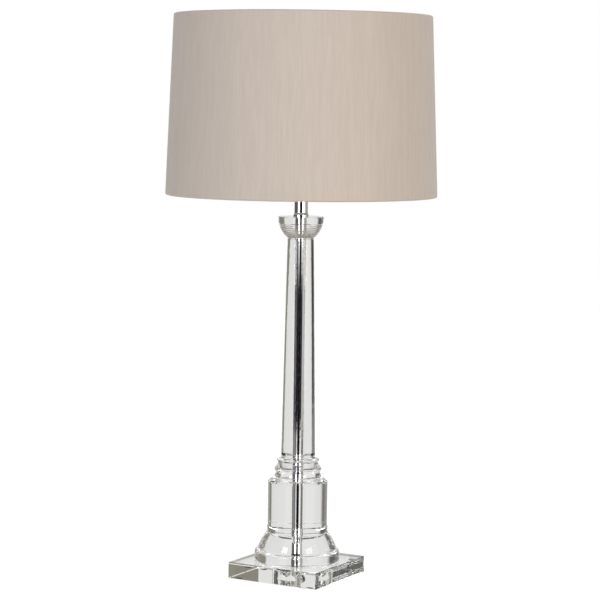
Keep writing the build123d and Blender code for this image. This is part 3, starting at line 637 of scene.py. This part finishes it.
# %% White powder coat on the wire, with its orange peel and rubbed edges
tree, surface = new_finish("white_wire", {"IOR": 1.5, "Coat Weight": 0.2})
peel = effect(tree, fine_grain, {"Scale": 900})
worn = effect(tree, edge_wear, {"Width": 0.3 * MM, "Scale": 350})
WHITE_COAT = (0.84, 0.84, 0.82), (0.79, 0.79, 0.77)
layered_colour(tree, surface, peel["Mask"], *WHITE_COAT, worn["Mask"], (0.62, 0.61, 0.59))
roughness_from(tree, surface, peel["Mask"], 0.28, 0.42)
relief_from(tree, surface, peel["Height"], 0.04 * MM)

# %% Opal glass of the bulb: milk white, with light spreading just under the surface
even_finish(
    "opal_glass",
    {"IOR": 1.5, "Subsurface Weight": 0.3, "Subsurface Scale": 2 * MM},
    smudges,
    {"Scale": 70, "Cover": 0.5},
    ((0.90, 0.90, 0.88), (0.86, 0.86, 0.84)),
    (0.12, 0.28),
)

# %% White plastic of the bulb's body
white_colours = ((0.86, 0.86, 0.84), (0.82, 0.82, 0.80))
even_finish(
    "bulb_plastic", {"IOR": 1.5}, fine_grain, {"Scale": 1800}, white_colours, (0.32, 0.45), 0.015 * MM
)

# %% Nickel of the bulb's cap
tree, surface = new_finish("bulb_nickel", {"Metallic": 1})
wiped = effect(tree, scratches, {"Scale": 200, "Depth": 1})
touched = effect(tree, smudges, {"Scale": 120, "Cover": 0.7})
colour_from(tree, surface, touched["Mask"], (0.76, 0.74, 0.69), (0.64, 0.62, 0.58))
roughness_from(tree, surface, wiped["Mask"], 0.2, 0.38)
relief_from(tree, surface, wiped["Height"], 0.006 * MM)

# %% Black glass under the bulb's cap
black_colours = ((0.012, 0.012, 0.014), (0.035, 0.035, 0.04))
dark_glass = {"IOR": 1.52, "Coat Weight": 0.4}
even_finish("bulb_black", dark_glass, fine_grain, {"Scale": 600}, black_colours, (0.08, 0.2))

# %% Give every CAD piece the finish of its slot
for part in nodes.values():
    part.material_slots[0].material = finishes[part.material_slots[0].material.name]
print("finishes:", len(finishes))

# %% [markdown]
# ## Turned and threaded pieces
#
# Threads, rolled hems, grips and chamfers are too fine for the CAD solids, so those pieces are
# made again here at the same size. Nearly all are round, so one way serves them all: a piece is
# a stack of rings of points, with a face between each ring and the next. A ring may change its
# radius or height on the way round, and that makes ribs, flats and screw threads.

# %% Rings of points, and a mesh from them
def turns(columns):
    """Angles for one ring, with the first point given again at its end."""
    return np.linspace(0, 2 * pi, columns + 1)


def ring(radius, height, angles):
    """One ring round the lamp's axis. Radius and height are numbers, or change round the ring."""
    radius = np.broadcast_to(radius, angles.shape)
    height = np.broadcast_to(height, angles.shape)
    return np.stack([radius * np.cos(angles), radius * np.sin(angles), height], axis=1)


def rings_at(outline, angles):
    """One ring for each (radius, height) of an outline."""
    return [ring(radius, height, angles) for radius, height in outline]


def placed(rings, place):
    """The rings, moved and turned by a matrix."""
    move = np.array(place)
    return [points @ move[:3, :3].T + move[:3, 3] for points in rings]


def add_shell(points, faces, rings, closed):
    """Adds one shell of rings. A closed shell joins its last ring to its first."""
    start = len(points)
    width = len(rings[0])
    for one in rings:
        points.extend(one.tolist())
    rows = len(rings)
    for row in range(rows if closed else rows - 1):
        low = start + row * width
        high = start + (row + 1) % rows * width
        for column in range(width - 1):
            faces.append((low + column, low + column + 1, high + column + 1, high + column))


SAME_POINT = 1e-6


def piece_from(name, shells, closed, corner):
    """A piece made of one or more shells. Points that meet are merged, and sharp corners kept."""
    points = []
    faces = []
    for rings in shells:
        add_shell(points, faces, rings, closed)
    mesh = bpy.data.meshes.new(name)
    mesh.from_pydata(points, [], faces)
    whole = bmesh.new()
    whole.from_mesh(mesh)
    bmesh.ops.remove_doubles(whole, verts=whole.verts, dist=SAME_POINT)
    bmesh.ops.recalc_face_normals(whole, faces=whole.faces)
    whole.to_mesh(mesh)
    whole.free()
    mesh.shade_smooth()
    mesh.set_sharp_from_angle(angle=radians(corner))
    piece = bpy.data.objects.new(name, mesh)
    bpy.context.scene.collection.objects.link(piece)
    return piece


def seat(name, shells, body, slot_name, *stands_for, closed=True, corner=35):
    """Makes a piece, gives it its finish and its CAD body, and hides the nodes that it stands for."""
    piece = piece_from(name, shells, closed, corner)
    piece.data.materials.append(finishes[slot_name])
    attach(piece, body)
    if stands_for:
        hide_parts(*stands_for)
    print(piece.name, "has", len(piece.data.polygons), "faces")
    return piece


def reach(name):
    """A turned node's outside radius, foot and top, in metres."""
    low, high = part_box(name)
    return high.x, low.z, high.z


# %% [markdown]
# A screw thread is a ridge that climbs one pitch in each turn. If every ring leans by one pitch,
# its start meets the ring that is one turn above, and each ring runs along the crest, the flank
# or the root of the thread from end to end. The ridge fades in and out over its first and last
# turn, as a cut thread does.

# %% Screw threads
THREAD_STEPS = 8
THREAD_FLAT = 0.2


def thread_rings(foot, top, pitch, crest, depth, angles, rounded=False):
    """The rings of a screw thread between two heights, with a round or a flat-sided ridge."""
    turn = angles / (2 * pi)
    rings = []
    for step in range(-THREAD_STEPS, ceil((top - foot) / pitch) * THREAD_STEPS + 1):
        share = step / THREAD_STEPS
        height = np.clip(foot + pitch * (share + turn), foot, top)
        slope = 1 - abs(2 * (share % 1) - 1)
        cut = min(max((slope - THREAD_FLAT) / (1 - 2 * THREAD_FLAT), 0), 1)
        flank = 0.5 - 0.5 * cos(pi * slope) if rounded else cut
        ease = np.clip(np.minimum(height - foot, top - height) / pitch, 0, 1)
        rings.append(ring(crest - depth * (1 - flank * ease), height, angles))
    return rings


# %% Hexagon nuts
NUT_COLUMNS = 72
NUT_SLOPE = 0.5
NUT_FACE = 0.97


def hexagon(flats, angles):
    """The radius of a hexagon at each angle, from its width across flats."""
    return flats / 2 / np.cos((angles + pi / 6) % (pi / 3) - pi / 6)


def nut_rings(name, bore):
    """A nut whose six corners are turned down by a cone at both ends, with a chamfered bore."""
    low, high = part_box(name)
    angles = turns(NUT_COLUMNS)
    flats = min(high.x - low.x, high.y - low.y)
    outside = hexagon(flats, angles)
    drop = (outside - flats / 2) * NUT_SLOPE
    face = flats / 2 * NUT_FACE
    chamfer = 0.6 * MM
    outline = [
        (bore, low.z + chamfer),
        (bore + chamfer, low.z),
        (face, low.z),
        (outside, low.z + drop),
        (outside, high.z - drop),
        (face, high.z),
        (bore + chamfer, high.z),
        (bore, high.z - chamfer),
    ]
    return rings_at(outline, angles)


rod_radius, rod_foot, rod_top = reach("threaded_rod")
nut_bore = rod_radius + 0.02 * MM
for name, node_name in [("clamp_nut", "bottom_nut"), ("neck_nut", "stack_nut")]:
    seat(name, [nut_rings(node_name, nut_bore)], "lamp_base", "zinc_steel", node_name)

# %% [markdown]
# ## Hollow rod
#
# The rod is a thin tube with a fine M10 thread at both ends: one end takes the clamping nut in
# the recess, the other the neck nut and the lampholder. Between them it runs plain inside the
# chrome sleeve, so only its ends need the thread.

# %% Hollow rod
ROD_BORE_RADIUS = 3.5 * MM
ROD_PITCH = 1 * MM
ROD_THREAD_DEPTH = 0.5 * MM
FOOT_THREAD = 24 * MM
HEAD_THREAD = 52 * MM
BURR = 0.4 * MM

angles = turns(40)
rod_foot_ring = [(ROD_BORE_RADIUS + BURR, rod_foot), (rod_radius - 2 * BURR, rod_foot)]
rod_head_and_bore = [
    (rod_radius - 2 * BURR, rod_top),
    (ROD_BORE_RADIUS + BURR, rod_top),
    (ROD_BORE_RADIUS, rod_top - BURR),
    (ROD_BORE_RADIUS, rod_foot + BURR),
]
rod_rings = rings_at(rod_foot_ring, angles)
for foot, top in [(rod_foot + BURR, rod_foot + FOOT_THREAD), (rod_top - HEAD_THREAD, rod_top - BURR)]:
    rod_rings += thread_rings(foot, top, ROD_PITCH, rod_radius, ROD_THREAD_DEPTH, angles)
rod_rings += rings_at(rod_head_and_bore, angles)
seat("hollow_rod", [rod_rings], "lamp_base", "zinc_steel", "threaded_rod")

# %% [markdown]
# ## Clear washers and feet
#
# A clear washer lies in each joint of the crystal stack, a little thinner than the joint, so
# that it never touches both blocks at once in the render, which would draw a false dark line.
# The feet are small clear pads with a rounded rim.

# %% Clear washers in the joints
JOINTS_BELOW = ["plinth", "bell_base", "pedestal_drum", "ribbed_collar", "column"]
JOINTS_ABOVE = ["bell_base", "pedestal_drum", "ribbed_collar", "column", "capital_cup"]
WASHER_SHARE = 0.7
washer_radius = reach("joint_washers")[0]
bore_radius = reach("rod_sleeve")[0] + 0.35 * MM
angles = turns(72)
washers = []
for below, above in zip(JOINTS_BELOW, JOINTS_ABOVE):
    joint_foot = reach(below)[2]
    joint_top = reach(above)[1]
    middle = (joint_foot + joint_top) / 2
    half = (joint_top - joint_foot) * WASHER_SHARE / 2
    outline = [
        (bore_radius, middle - half),
        (washer_radius - half, middle - half),
        (washer_radius, middle),
        (washer_radius - half, middle + half),
        (bore_radius, middle + half),
    ]
    washers.append(rings_at(outline, angles))
seat("joint_discs", washers, "lamp_base", "clear_plastic", "joint_washers")

# %% Rounded feet
FOOT_RADIUS = 6 * MM
FOOT_ROUND = 0.4 * MM
low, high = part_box("foot_pads")
foot_reach = high.x - FOOT_RADIUS
angles = turns(48)
foot_outline = [
    (0, low.z),
    (FOOT_RADIUS - 2 * FOOT_ROUND, low.z),
    (FOOT_RADIUS - 0.6 * FOOT_ROUND, low.z + 0.5 * FOOT_ROUND),
    (FOOT_RADIUS, low.z + 1.5 * FOOT_ROUND),
    (FOOT_RADIUS, high.z),
    (0, high.z),
]
feet = []
for side_x in (-1, 1):
    for side_y in (-1, 1):
        to_corner = Matrix.Translation((side_x * foot_reach, side_y * foot_reach, 0))
        feet.append(placed(rings_at(foot_outline, angles), to_corner))
seat("rounded_feet", feet, "lamp_base", "clear_plastic", "foot_pads", closed=False)

# %% [markdown]
# ## Grommet and grub screw
#
# Both lie level at the back of the lamp: the grommet in the plinth's flex hole, and the grub
# screw in the lampholder's entry. They are turned upright like the rest and then laid down by
# one matrix, so that their axis runs along Y.

# %% Grommet
def lay_back(height):
    """Turns a piece made upright at the origin to point backwards, at a height."""
    return Matrix.Translation((0, 0, height)) @ Matrix.Rotation(-pi / 2, 4, "X")


GROMMET_BORE = 3.3 * MM
GROMMET_FLANGE = 1.5 * MM
LIP = 0.5 * MM
low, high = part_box("flex_grommet")
flange_radius = high.x
tube_radius = 4.35 * MM
grommet_outline = [
    (GROMMET_BORE, low.y + LIP),
    (GROMMET_BORE + LIP, low.y),
    (tube_radius, low.y),
    (tube_radius, high.y - GROMMET_FLANGE),
    (flange_radius - LIP, high.y - GROMMET_FLANGE),
    (flange_radius, high.y - GROMMET_FLANGE + LIP),
    (flange_radius - 0.3 * LIP, high.y - 0.5 * LIP),
    (flange_radius - 1.2 * LIP, high.y),
    (GROMMET_BORE + LIP, high.y),
    (GROMMET_BORE, high.y - LIP),
]
grommet = placed(rings_at(grommet_outline, turns(56)), lay_back((low.z + high.z) / 2))
seat("rounded_grommet", [grommet], "lamp_base", "clear_plastic", "flex_grommet")

# %% Grub screw with a hexagon socket
SOCKET_FLATS = 1.5 * MM
SOCKET_DEPTH = 1.2 * MM
GRUB_PITCH = 0.5 * MM
GRUB_THREAD_DEPTH = 0.25 * MM
low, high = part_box("lock_screw")
screw_radius = high.x
angles = turns(36)
socket = hexagon(SOCKET_FLATS, angles)
grub_screw = rings_at([(0, low.y), (screw_radius - 0.3 * MM, low.y)], angles)
thread_foot = low.y + 0.2 * MM
thread_top = high.y - 0.2 * MM
grub_screw += thread_rings(thread_foot, thread_top, GRUB_PITCH, screw_radius, GRUB_THREAD_DEPTH, angles)
socket_outline = [
    (screw_radius - 0.35 * MM, high.y),
    (socket + 0.1 * MM, high.y),
    (socket, high.y - 0.1 * MM),
    (socket, high.y - SOCKET_DEPTH),
    (0, high.y - SOCKET_DEPTH),
]
grub_screw += rings_at(socket_outline, angles)
grub_screw = placed(grub_screw, lay_back((low.z + high.z) / 2))
seat("grub_screw", [grub_screw], "lamp_base", "zinc_steel", "lock_screw", closed=False)

# %% [markdown]
# ## Lampholder skirt and shade rings
#
# The skirt screws over the lampholder's cap, by a collar with grip ribs, and carries a coarse
# thread outside. Two shade rings run on that thread and clamp the shade's carrier between them.
# Each ring has a ribbed rim, so that fingers can turn it.

# %% Skirt
GRIP_RIBS = 48
GRIP_COLUMNS = 192
GRIP_DEPTH = 0.35 * MM
COLLAR_STEP = 1.4 * MM
COLLAR_HEIGHT = 9 * MM
SKIRT_WALL = 2.6 * MM
SKIRT_PITCH = 2.5 * MM
SKIRT_THREAD_DEPTH = 0.9 * MM
EDGE = 0.6 * MM

angles = turns(GRIP_COLUMNS)
grip = GRIP_DEPTH * (0.5 - 0.5 * np.cos(GRIP_RIBS * angles))
collar_radius, skirt_foot, skirt_top = reach("holder_skirt")
collar_top = skirt_foot + COLLAR_HEIGHT
skirt_radius = collar_radius - COLLAR_STEP
skirt_bore = skirt_radius - SKIRT_WALL
cap_room = reach("holder_cap")[0] + 0.15 * MM
seat_level = reach("holder_cap")[2]
collar_outline = [
    (cap_room, skirt_foot),
    (collar_radius - EDGE, skirt_foot),
    (collar_radius - grip, skirt_foot + EDGE),
    (collar_radius - grip, collar_top - EDGE),
    (collar_radius - EDGE, collar_top),
    (skirt_radius - SKIRT_THREAD_DEPTH, collar_top),
]
mouth_outline = [
    (skirt_radius - 2 * EDGE, skirt_top),
    (skirt_bore + 0.5 * EDGE, skirt_top),
    (skirt_bore, skirt_top - 0.5 * EDGE),
    (skirt_bore, seat_level + 0.1 * MM),
    (cap_room, seat_level + 0.1 * MM),
]
thread_foot = collar_top + EDGE
thread_top = skirt_top - EDGE
skirt = rings_at(collar_outline, angles)
skirt += thread_rings(thread_foot, thread_top, SKIRT_PITCH, skirt_radius, SKIRT_THREAD_DEPTH, angles)
skirt += rings_at(mouth_outline, angles)
seat("threaded_skirt", [skirt], "lamp_base", "chrome", "holder_skirt")

# %% Shade rings
RIM_RIBS = 64
RING_HUB_WALL = 3.2 * MM
RING_FLANGE = 3 * MM
RING_GAP = 0.3 * MM


def shade_ring(name, node_name, body, flange_up):
    """A shade ring: a hub on the skirt's thread and a wide flange with a ribbed rim."""
    rim, foot, top = reach(node_name)
    angles = turns(RIM_RIBS * 3)
    ribs = GRIP_DEPTH * (0.5 - 0.5 * np.cos(RIM_RIBS * angles))
    hub = skirt_radius + RING_HUB_WALL
    bore = skirt_radius + RING_GAP
    hub_foot = foot + RING_FLANGE
    outline = [
        (bore, foot + EDGE),
        (bore + EDGE, foot),
        (rim - EDGE, foot),
        (rim - ribs, foot + EDGE),
        (rim - ribs, hub_foot - EDGE),
        (rim - EDGE, hub_foot),
        (hub + EDGE, hub_foot),
        (hub, hub_foot + EDGE),
        (hub, top - EDGE),
        (hub - EDGE, top),
        (bore + EDGE, top),
        (bore, top - EDGE),
    ]
    if flange_up:
        outline = [(radius, foot + top - height) for radius, height in outline]
    seat(name, [rings_at(outline, angles)], body, "chrome", node_name)


shade_ring("ribbed_lower_ring", "lower_shade_ring", "lamp_base", True)
shade_ring("ribbed_upper_ring", "upper_shade_ring", "top_ring", False)

# %% [markdown]
# ## Bulb cap and the shell that takes it
#
# A bulb's thread is rolled into thin sheet, so it is round and shows inside and out. The shell's
# thread follows the cap's, a clearance farther out, and starts a whole number of turns below
# it, so that the two nest at rest.

# %% Bulb cap
BULB_PITCH = 3.6 * MM
BULB_THREAD_DEPTH = 0.9 * MM
CAP_FOOT = 1 * MM
CAP_BAND = 2.6 * MM

angles = turns(64)
cap_radius, cap_foot, cap_top = reach("bulb_cap")
valley = cap_radius - BULB_THREAD_DEPTH
thread_foot = cap_foot + CAP_FOOT
cap_inside = valley - 0.4 * MM
cap_band = [
    (cap_radius - 0.3 * MM, cap_top - 0.6 * CAP_BAND),
    (cap_radius, cap_top - 0.4 * CAP_BAND),
    (cap_radius, cap_top),
    (cap_inside, cap_top),
]
cap = rings_at([(cap_inside, cap_foot), (valley - 0.3 * MM, cap_foot)], angles)
cap += thread_rings(
    thread_foot, cap_top - CAP_BAND, BULB_PITCH, cap_radius, BULB_THREAD_DEPTH, angles, rounded=True
)
cap += rings_at(cap_band, angles)
seat("threaded_bulb_cap", [cap], "bulb", "bulb_nickel", "bulb_cap")

# %% Screw shell
SHELL_CLEARANCE = 0.35 * MM
SHELL_WALL = 0.4 * MM
SHELL_HOLE = 6 * MM
_, shell_foot, shell_top = reach("screw_shell")
turns_below = floor((thread_foot - shell_foot - SHELL_WALL) / BULB_PITCH)
nest_foot = thread_foot - turns_below * BULB_PITCH
nest_top = shell_top - SHELL_WALL
inner_crest = cap_radius + SHELL_CLEARANCE
outer_crest = inner_crest + SHELL_WALL
outer_foot = [(SHELL_HOLE, shell_foot), (outer_crest - BULB_THREAD_DEPTH, shell_foot)]
inner_foot = [
    (inner_crest - BULB_THREAD_DEPTH, shell_foot + SHELL_WALL),
    (SHELL_HOLE, shell_foot + SHELL_WALL),
]


def nested_thread(crest):
    """The shell's thread on one of its two faces."""
    return thread_rings(nest_foot, nest_top, BULB_PITCH, crest, BULB_THREAD_DEPTH, angles, rounded=True)


shell = rings_at(outer_foot, angles) + nested_thread(outer_crest)
shell += rings_at([(outer_crest, shell_top), (inner_crest, shell_top)], angles)
shell += nested_thread(inner_crest)[::-1] + rings_at(inner_foot, angles)
seat("threaded_shell", [shell], "lamp_base", "contact_brass", "screw_shell")

# %% Bulb body, with a shallow step where the globe is glued in
body_radius, _, body_top = reach("bulb_body")
neck_radius = cap_radius + 0.8 * MM
BODY_STEPS = 10
plug_foot = cap_top - 3 * MM
neck_top = cap_top + 2 * MM
shoulder = body_top - 1.6 * MM
body_outline = [(0, plug_foot), (cap_inside - 0.1 * MM, plug_foot)]
body_outline += [(cap_inside - 0.1 * MM, cap_top), (neck_radius, cap_top), (neck_radius, neck_top)]
for step in range(1, BODY_STEPS + 1):
    share = step / BODY_STEPS
    radius = neck_radius + (body_radius - neck_radius) * (share + 0.14 * sin(pi * share))
    body_outline.append((min(radius, body_radius), neck_top + (shoulder - neck_top) * share))
body_outline += [(body_radius, body_top - 0.4 * MM), (body_radius - 0.5 * MM, body_top), (0, body_top)]
bulb_body = rings_at(body_outline, turns(96))
seat("stepped_bulb_body", [bulb_body], "bulb", "bulb_plastic", "bulb_body", closed=False)

# %% [markdown]
# ## Push bar
#
# The bar goes right through the lampholder. Pushed from one side it switches on, and from the
# other off. Its section is a square with full corners, its ends are domed, and shallow grooves
# near them keep a fingertip from slipping.

# %% Push bar
BAR_GROOVES = 3
GROOVE_PITCH = 1.1 * MM
GROOVE_DEPTH = 0.22 * MM
FULLNESS = 0.35
low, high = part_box("switch_bar")
bar_half = (high.z - low.z) / 2
bar_centre = Vector(((low.x + high.x) / 2, (low.y + high.y) / 2, (low.z + high.z) / 2))
angles = turns(40)
side = np.sign(np.cos(angles)) * np.abs(np.cos(angles)) ** FULLNESS
rise = np.sign(np.sin(angles)) * np.abs(np.sin(angles)) ** FULLNESS
half_bar = [(0, 0.0), (0, bar_half - 1.6 * MM), (0.25 * MM, bar_half - 0.8 * MM), (0.8 * MM, bar_half)]
for groove in range(BAR_GROOVES):
    start = (1.2 + groove) * GROOVE_PITCH
    half_bar += [(start, bar_half), (start + 0.3 * GROOVE_PITCH, bar_half - GROOVE_DEPTH)]
    half_bar += [(start + 0.6 * GROOVE_PITCH, bar_half)]
stations = [(low.x + inward, size) for inward, size in half_bar]
stations += [(high.x - inward, size) for inward, size in reversed(half_bar)]
bar = []
for along, size in stations:
    level = np.full(angles.shape, along)
    bar.append(np.stack([level, bar_centre.y + size * side, bar_centre.z + size * rise], axis=1))
seat("grooved_push_bar", [bar], "switch", "switch_black", "switch_bar", closed=False)

# %% [markdown]
# ## Shade
#
# The shade is one strip of silk, laminated to a stiff lining and joined at the back by a narrow
# lap. Top and bottom, the silk is rolled over a wire ring and glued down inside, by hand, so the
# roll wavers a little and its raw edge isn't quite level. The strip is modelled as that: a thin
# closed sheet with two faces, its section followed round the rolls, with the lap standing proud.

# %% Sizes of the shade
SHADE_BOTTOM_RADIUS = 203 * MM
SHADE_TOP_RADIUS = 192 * MM
SILK = 0.6 * MM
ROLL = 2.95 * MM
HEM_LEG = 8 * MM
LAP_WIDTH = 9 * MM
LAP_RISE = 0.45 * MM
WALL_ROWS = 14
ROLL_ROWS = 12

low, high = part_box("shade_fabric")
shade_foot = low.z
shade_top = high.z
shade_height = shade_top - shade_foot
roll_low = shade_foot + ROLL
roll_high = shade_top - ROLL


def shade_radius(height):
    """The shade's outside radius at a height."""
    share = (height - shade_foot) / shade_height
    return SHADE_BOTTOM_RADIUS + (SHADE_TOP_RADIUS - SHADE_BOTTOM_RADIUS) * share


# %% Silk, with its rolls and lap
lap_half = LAP_WIDTH / (SHADE_BOTTOM_RADIUS + SHADE_TOP_RADIUS)
lap_step = lap_half * 0.06
lap_edges = [-lap_half, -lap_half + lap_step, lap_half - lap_step, lap_half]
angles = np.sort(np.concatenate([turns(240), [pi / 2 + edge for edge in lap_edges]]))
from_back = np.abs(angles - pi / 2)
lap = LAP_RISE * np.clip((lap_half - from_back) / lap_step, 0, 1)
waver = 0.5 * np.sin(5 * angles + 0.7) + 0.3 * np.sin(13 * angles + 2.1) + 0.2 * np.sin(31 * angles)
ROLL_WAVER = 0.12 * MM
EDGE_WAVER = 0.7 * MM


def silk_ring(depth, height):
    """A ring of the silk, a depth in from the shade's outside."""
    return ring(shade_radius(height) - depth + lap, height, angles)


def roll_over(radius, level, upward):
    """The rings of a roll, from the outside over to the inside, round the wire."""
    rings = []
    for step in range(ROLL_ROWS + 1):
        swing = pi * step / ROLL_ROWS
        wobble = ROLL_WAVER * waver * sin(swing)
        depth = ROLL - radius * cos(swing)
        height = level + (radius * sin(swing) - np.abs(wobble)) * (1 if upward else -1)
        rings.append(ring(shade_radius(level) - depth + lap, height, angles))
    return rings


raw_high = roll_high - HEM_LEG + EDGE_WAVER * waver
raw_low = roll_low + HEM_LEG + EDGE_WAVER * np.roll(waver, 60)
wall_levels = np.linspace(roll_low, roll_high, WALL_ROWS + 2)[1:-1]
silk = [silk_ring(2 * ROLL, raw_low)]
silk += roll_over(ROLL, roll_low, False)[::-1]
silk += [silk_ring(0, height) for height in wall_levels]
silk += roll_over(ROLL, roll_high, True)
silk += [silk_ring(2 * ROLL, raw_high), silk_ring(2 * ROLL - SILK, raw_high)]
silk += roll_over(ROLL - SILK, roll_high, True)[::-1]
silk += [silk_ring(SILK, height) for height in wall_levels[::-1]]
silk += roll_over(ROLL - SILK, roll_low, False)
silk += [silk_ring(2 * ROLL - SILK, raw_low)]
silk_shade = seat("silk_shade", [silk], "shade", "silk", "shade_fabric", corner=50)

# %% Round wires inside the rolls
WIRE_RADIUS = 1.6 * MM
WIRE_ROWS = 14


def round_wire(name, node_name, level):
    """A round wire ring, a little thicker where its ends are butt welded at the back."""
    wire_line = reach(node_name)[0] - WIRE_RADIUS
    around = turns(160)
    weld = 0.08 * np.exp(-(((around - pi / 2) / 0.012) ** 2))
    rings = []
    for row in range(WIRE_ROWS):
        swing = 2 * pi * row / WIRE_ROWS
        thick = WIRE_RADIUS * (0.98 + weld)
        rings.append(ring(wire_line + thick * cos(swing), level + thick * sin(swing), around))
    return seat(name, [rings], "shade", "white_wire", node_name)


top_wire = round_wire("round_top_wire", "shade_top_ring", roll_high)
bottom_wire = round_wire("round_bottom_wire", "shade_bottom_ring", roll_low)

# %% [markdown]
# The three arms are welded under the carrier's centre ring. A weld leaves a small bead on each
# side of the wire, so six beads go there, each a flattened ball.

# %% Weld beads
BEAD_ROWS = 8
BEAD_SIZE = (2.4 * MM, 1.1 * MM, 0.9 * MM)
ARM_RADIUS = 1.75 * MM
ARM_ANGLES = (90, 210, 330)
carrier_radius, carrier_foot, _ = reach("carrier_ring")
bead_reach = carrier_radius - 3 * MM
ball = []
for row in range(BEAD_ROWS + 1):
    swing = pi * row / BEAD_ROWS
    ball.append(ring(sin(swing), -cos(swing), turns(16)))
beads = []
for arm_angle in ARM_ANGLES:
    for side_way in (-1, 1):
        to_arm = Matrix.Rotation(radians(arm_angle), 4, "Z")
        beside = Matrix.Translation((bead_reach, side_way * (ARM_RADIUS * 0.8), carrier_foot - 0.5 * MM))
        beads.append(placed(ball, to_arm @ beside @ Matrix.Diagonal((*BEAD_SIZE, 1))))
seat("weld_beads", beads, "shade", "white_wire", closed=False)

# %% [markdown]
# ## Last settings
#
# A ray that enters the crystal can be reflected many times before it leaves, so the limits on
# bounces are high. A lower limit would leave black patches in the blocks.

# %% Ray limits and the size of the finished model
scene = bpy.context.scene
scene.view_settings.view_transform = "Standard"
scene.cycles.max_bounces = 40
scene.cycles.glossy_bounces = 32
scene.cycles.transmission_bounces = 40
scene.cycles.transparent_max_bounces = 32
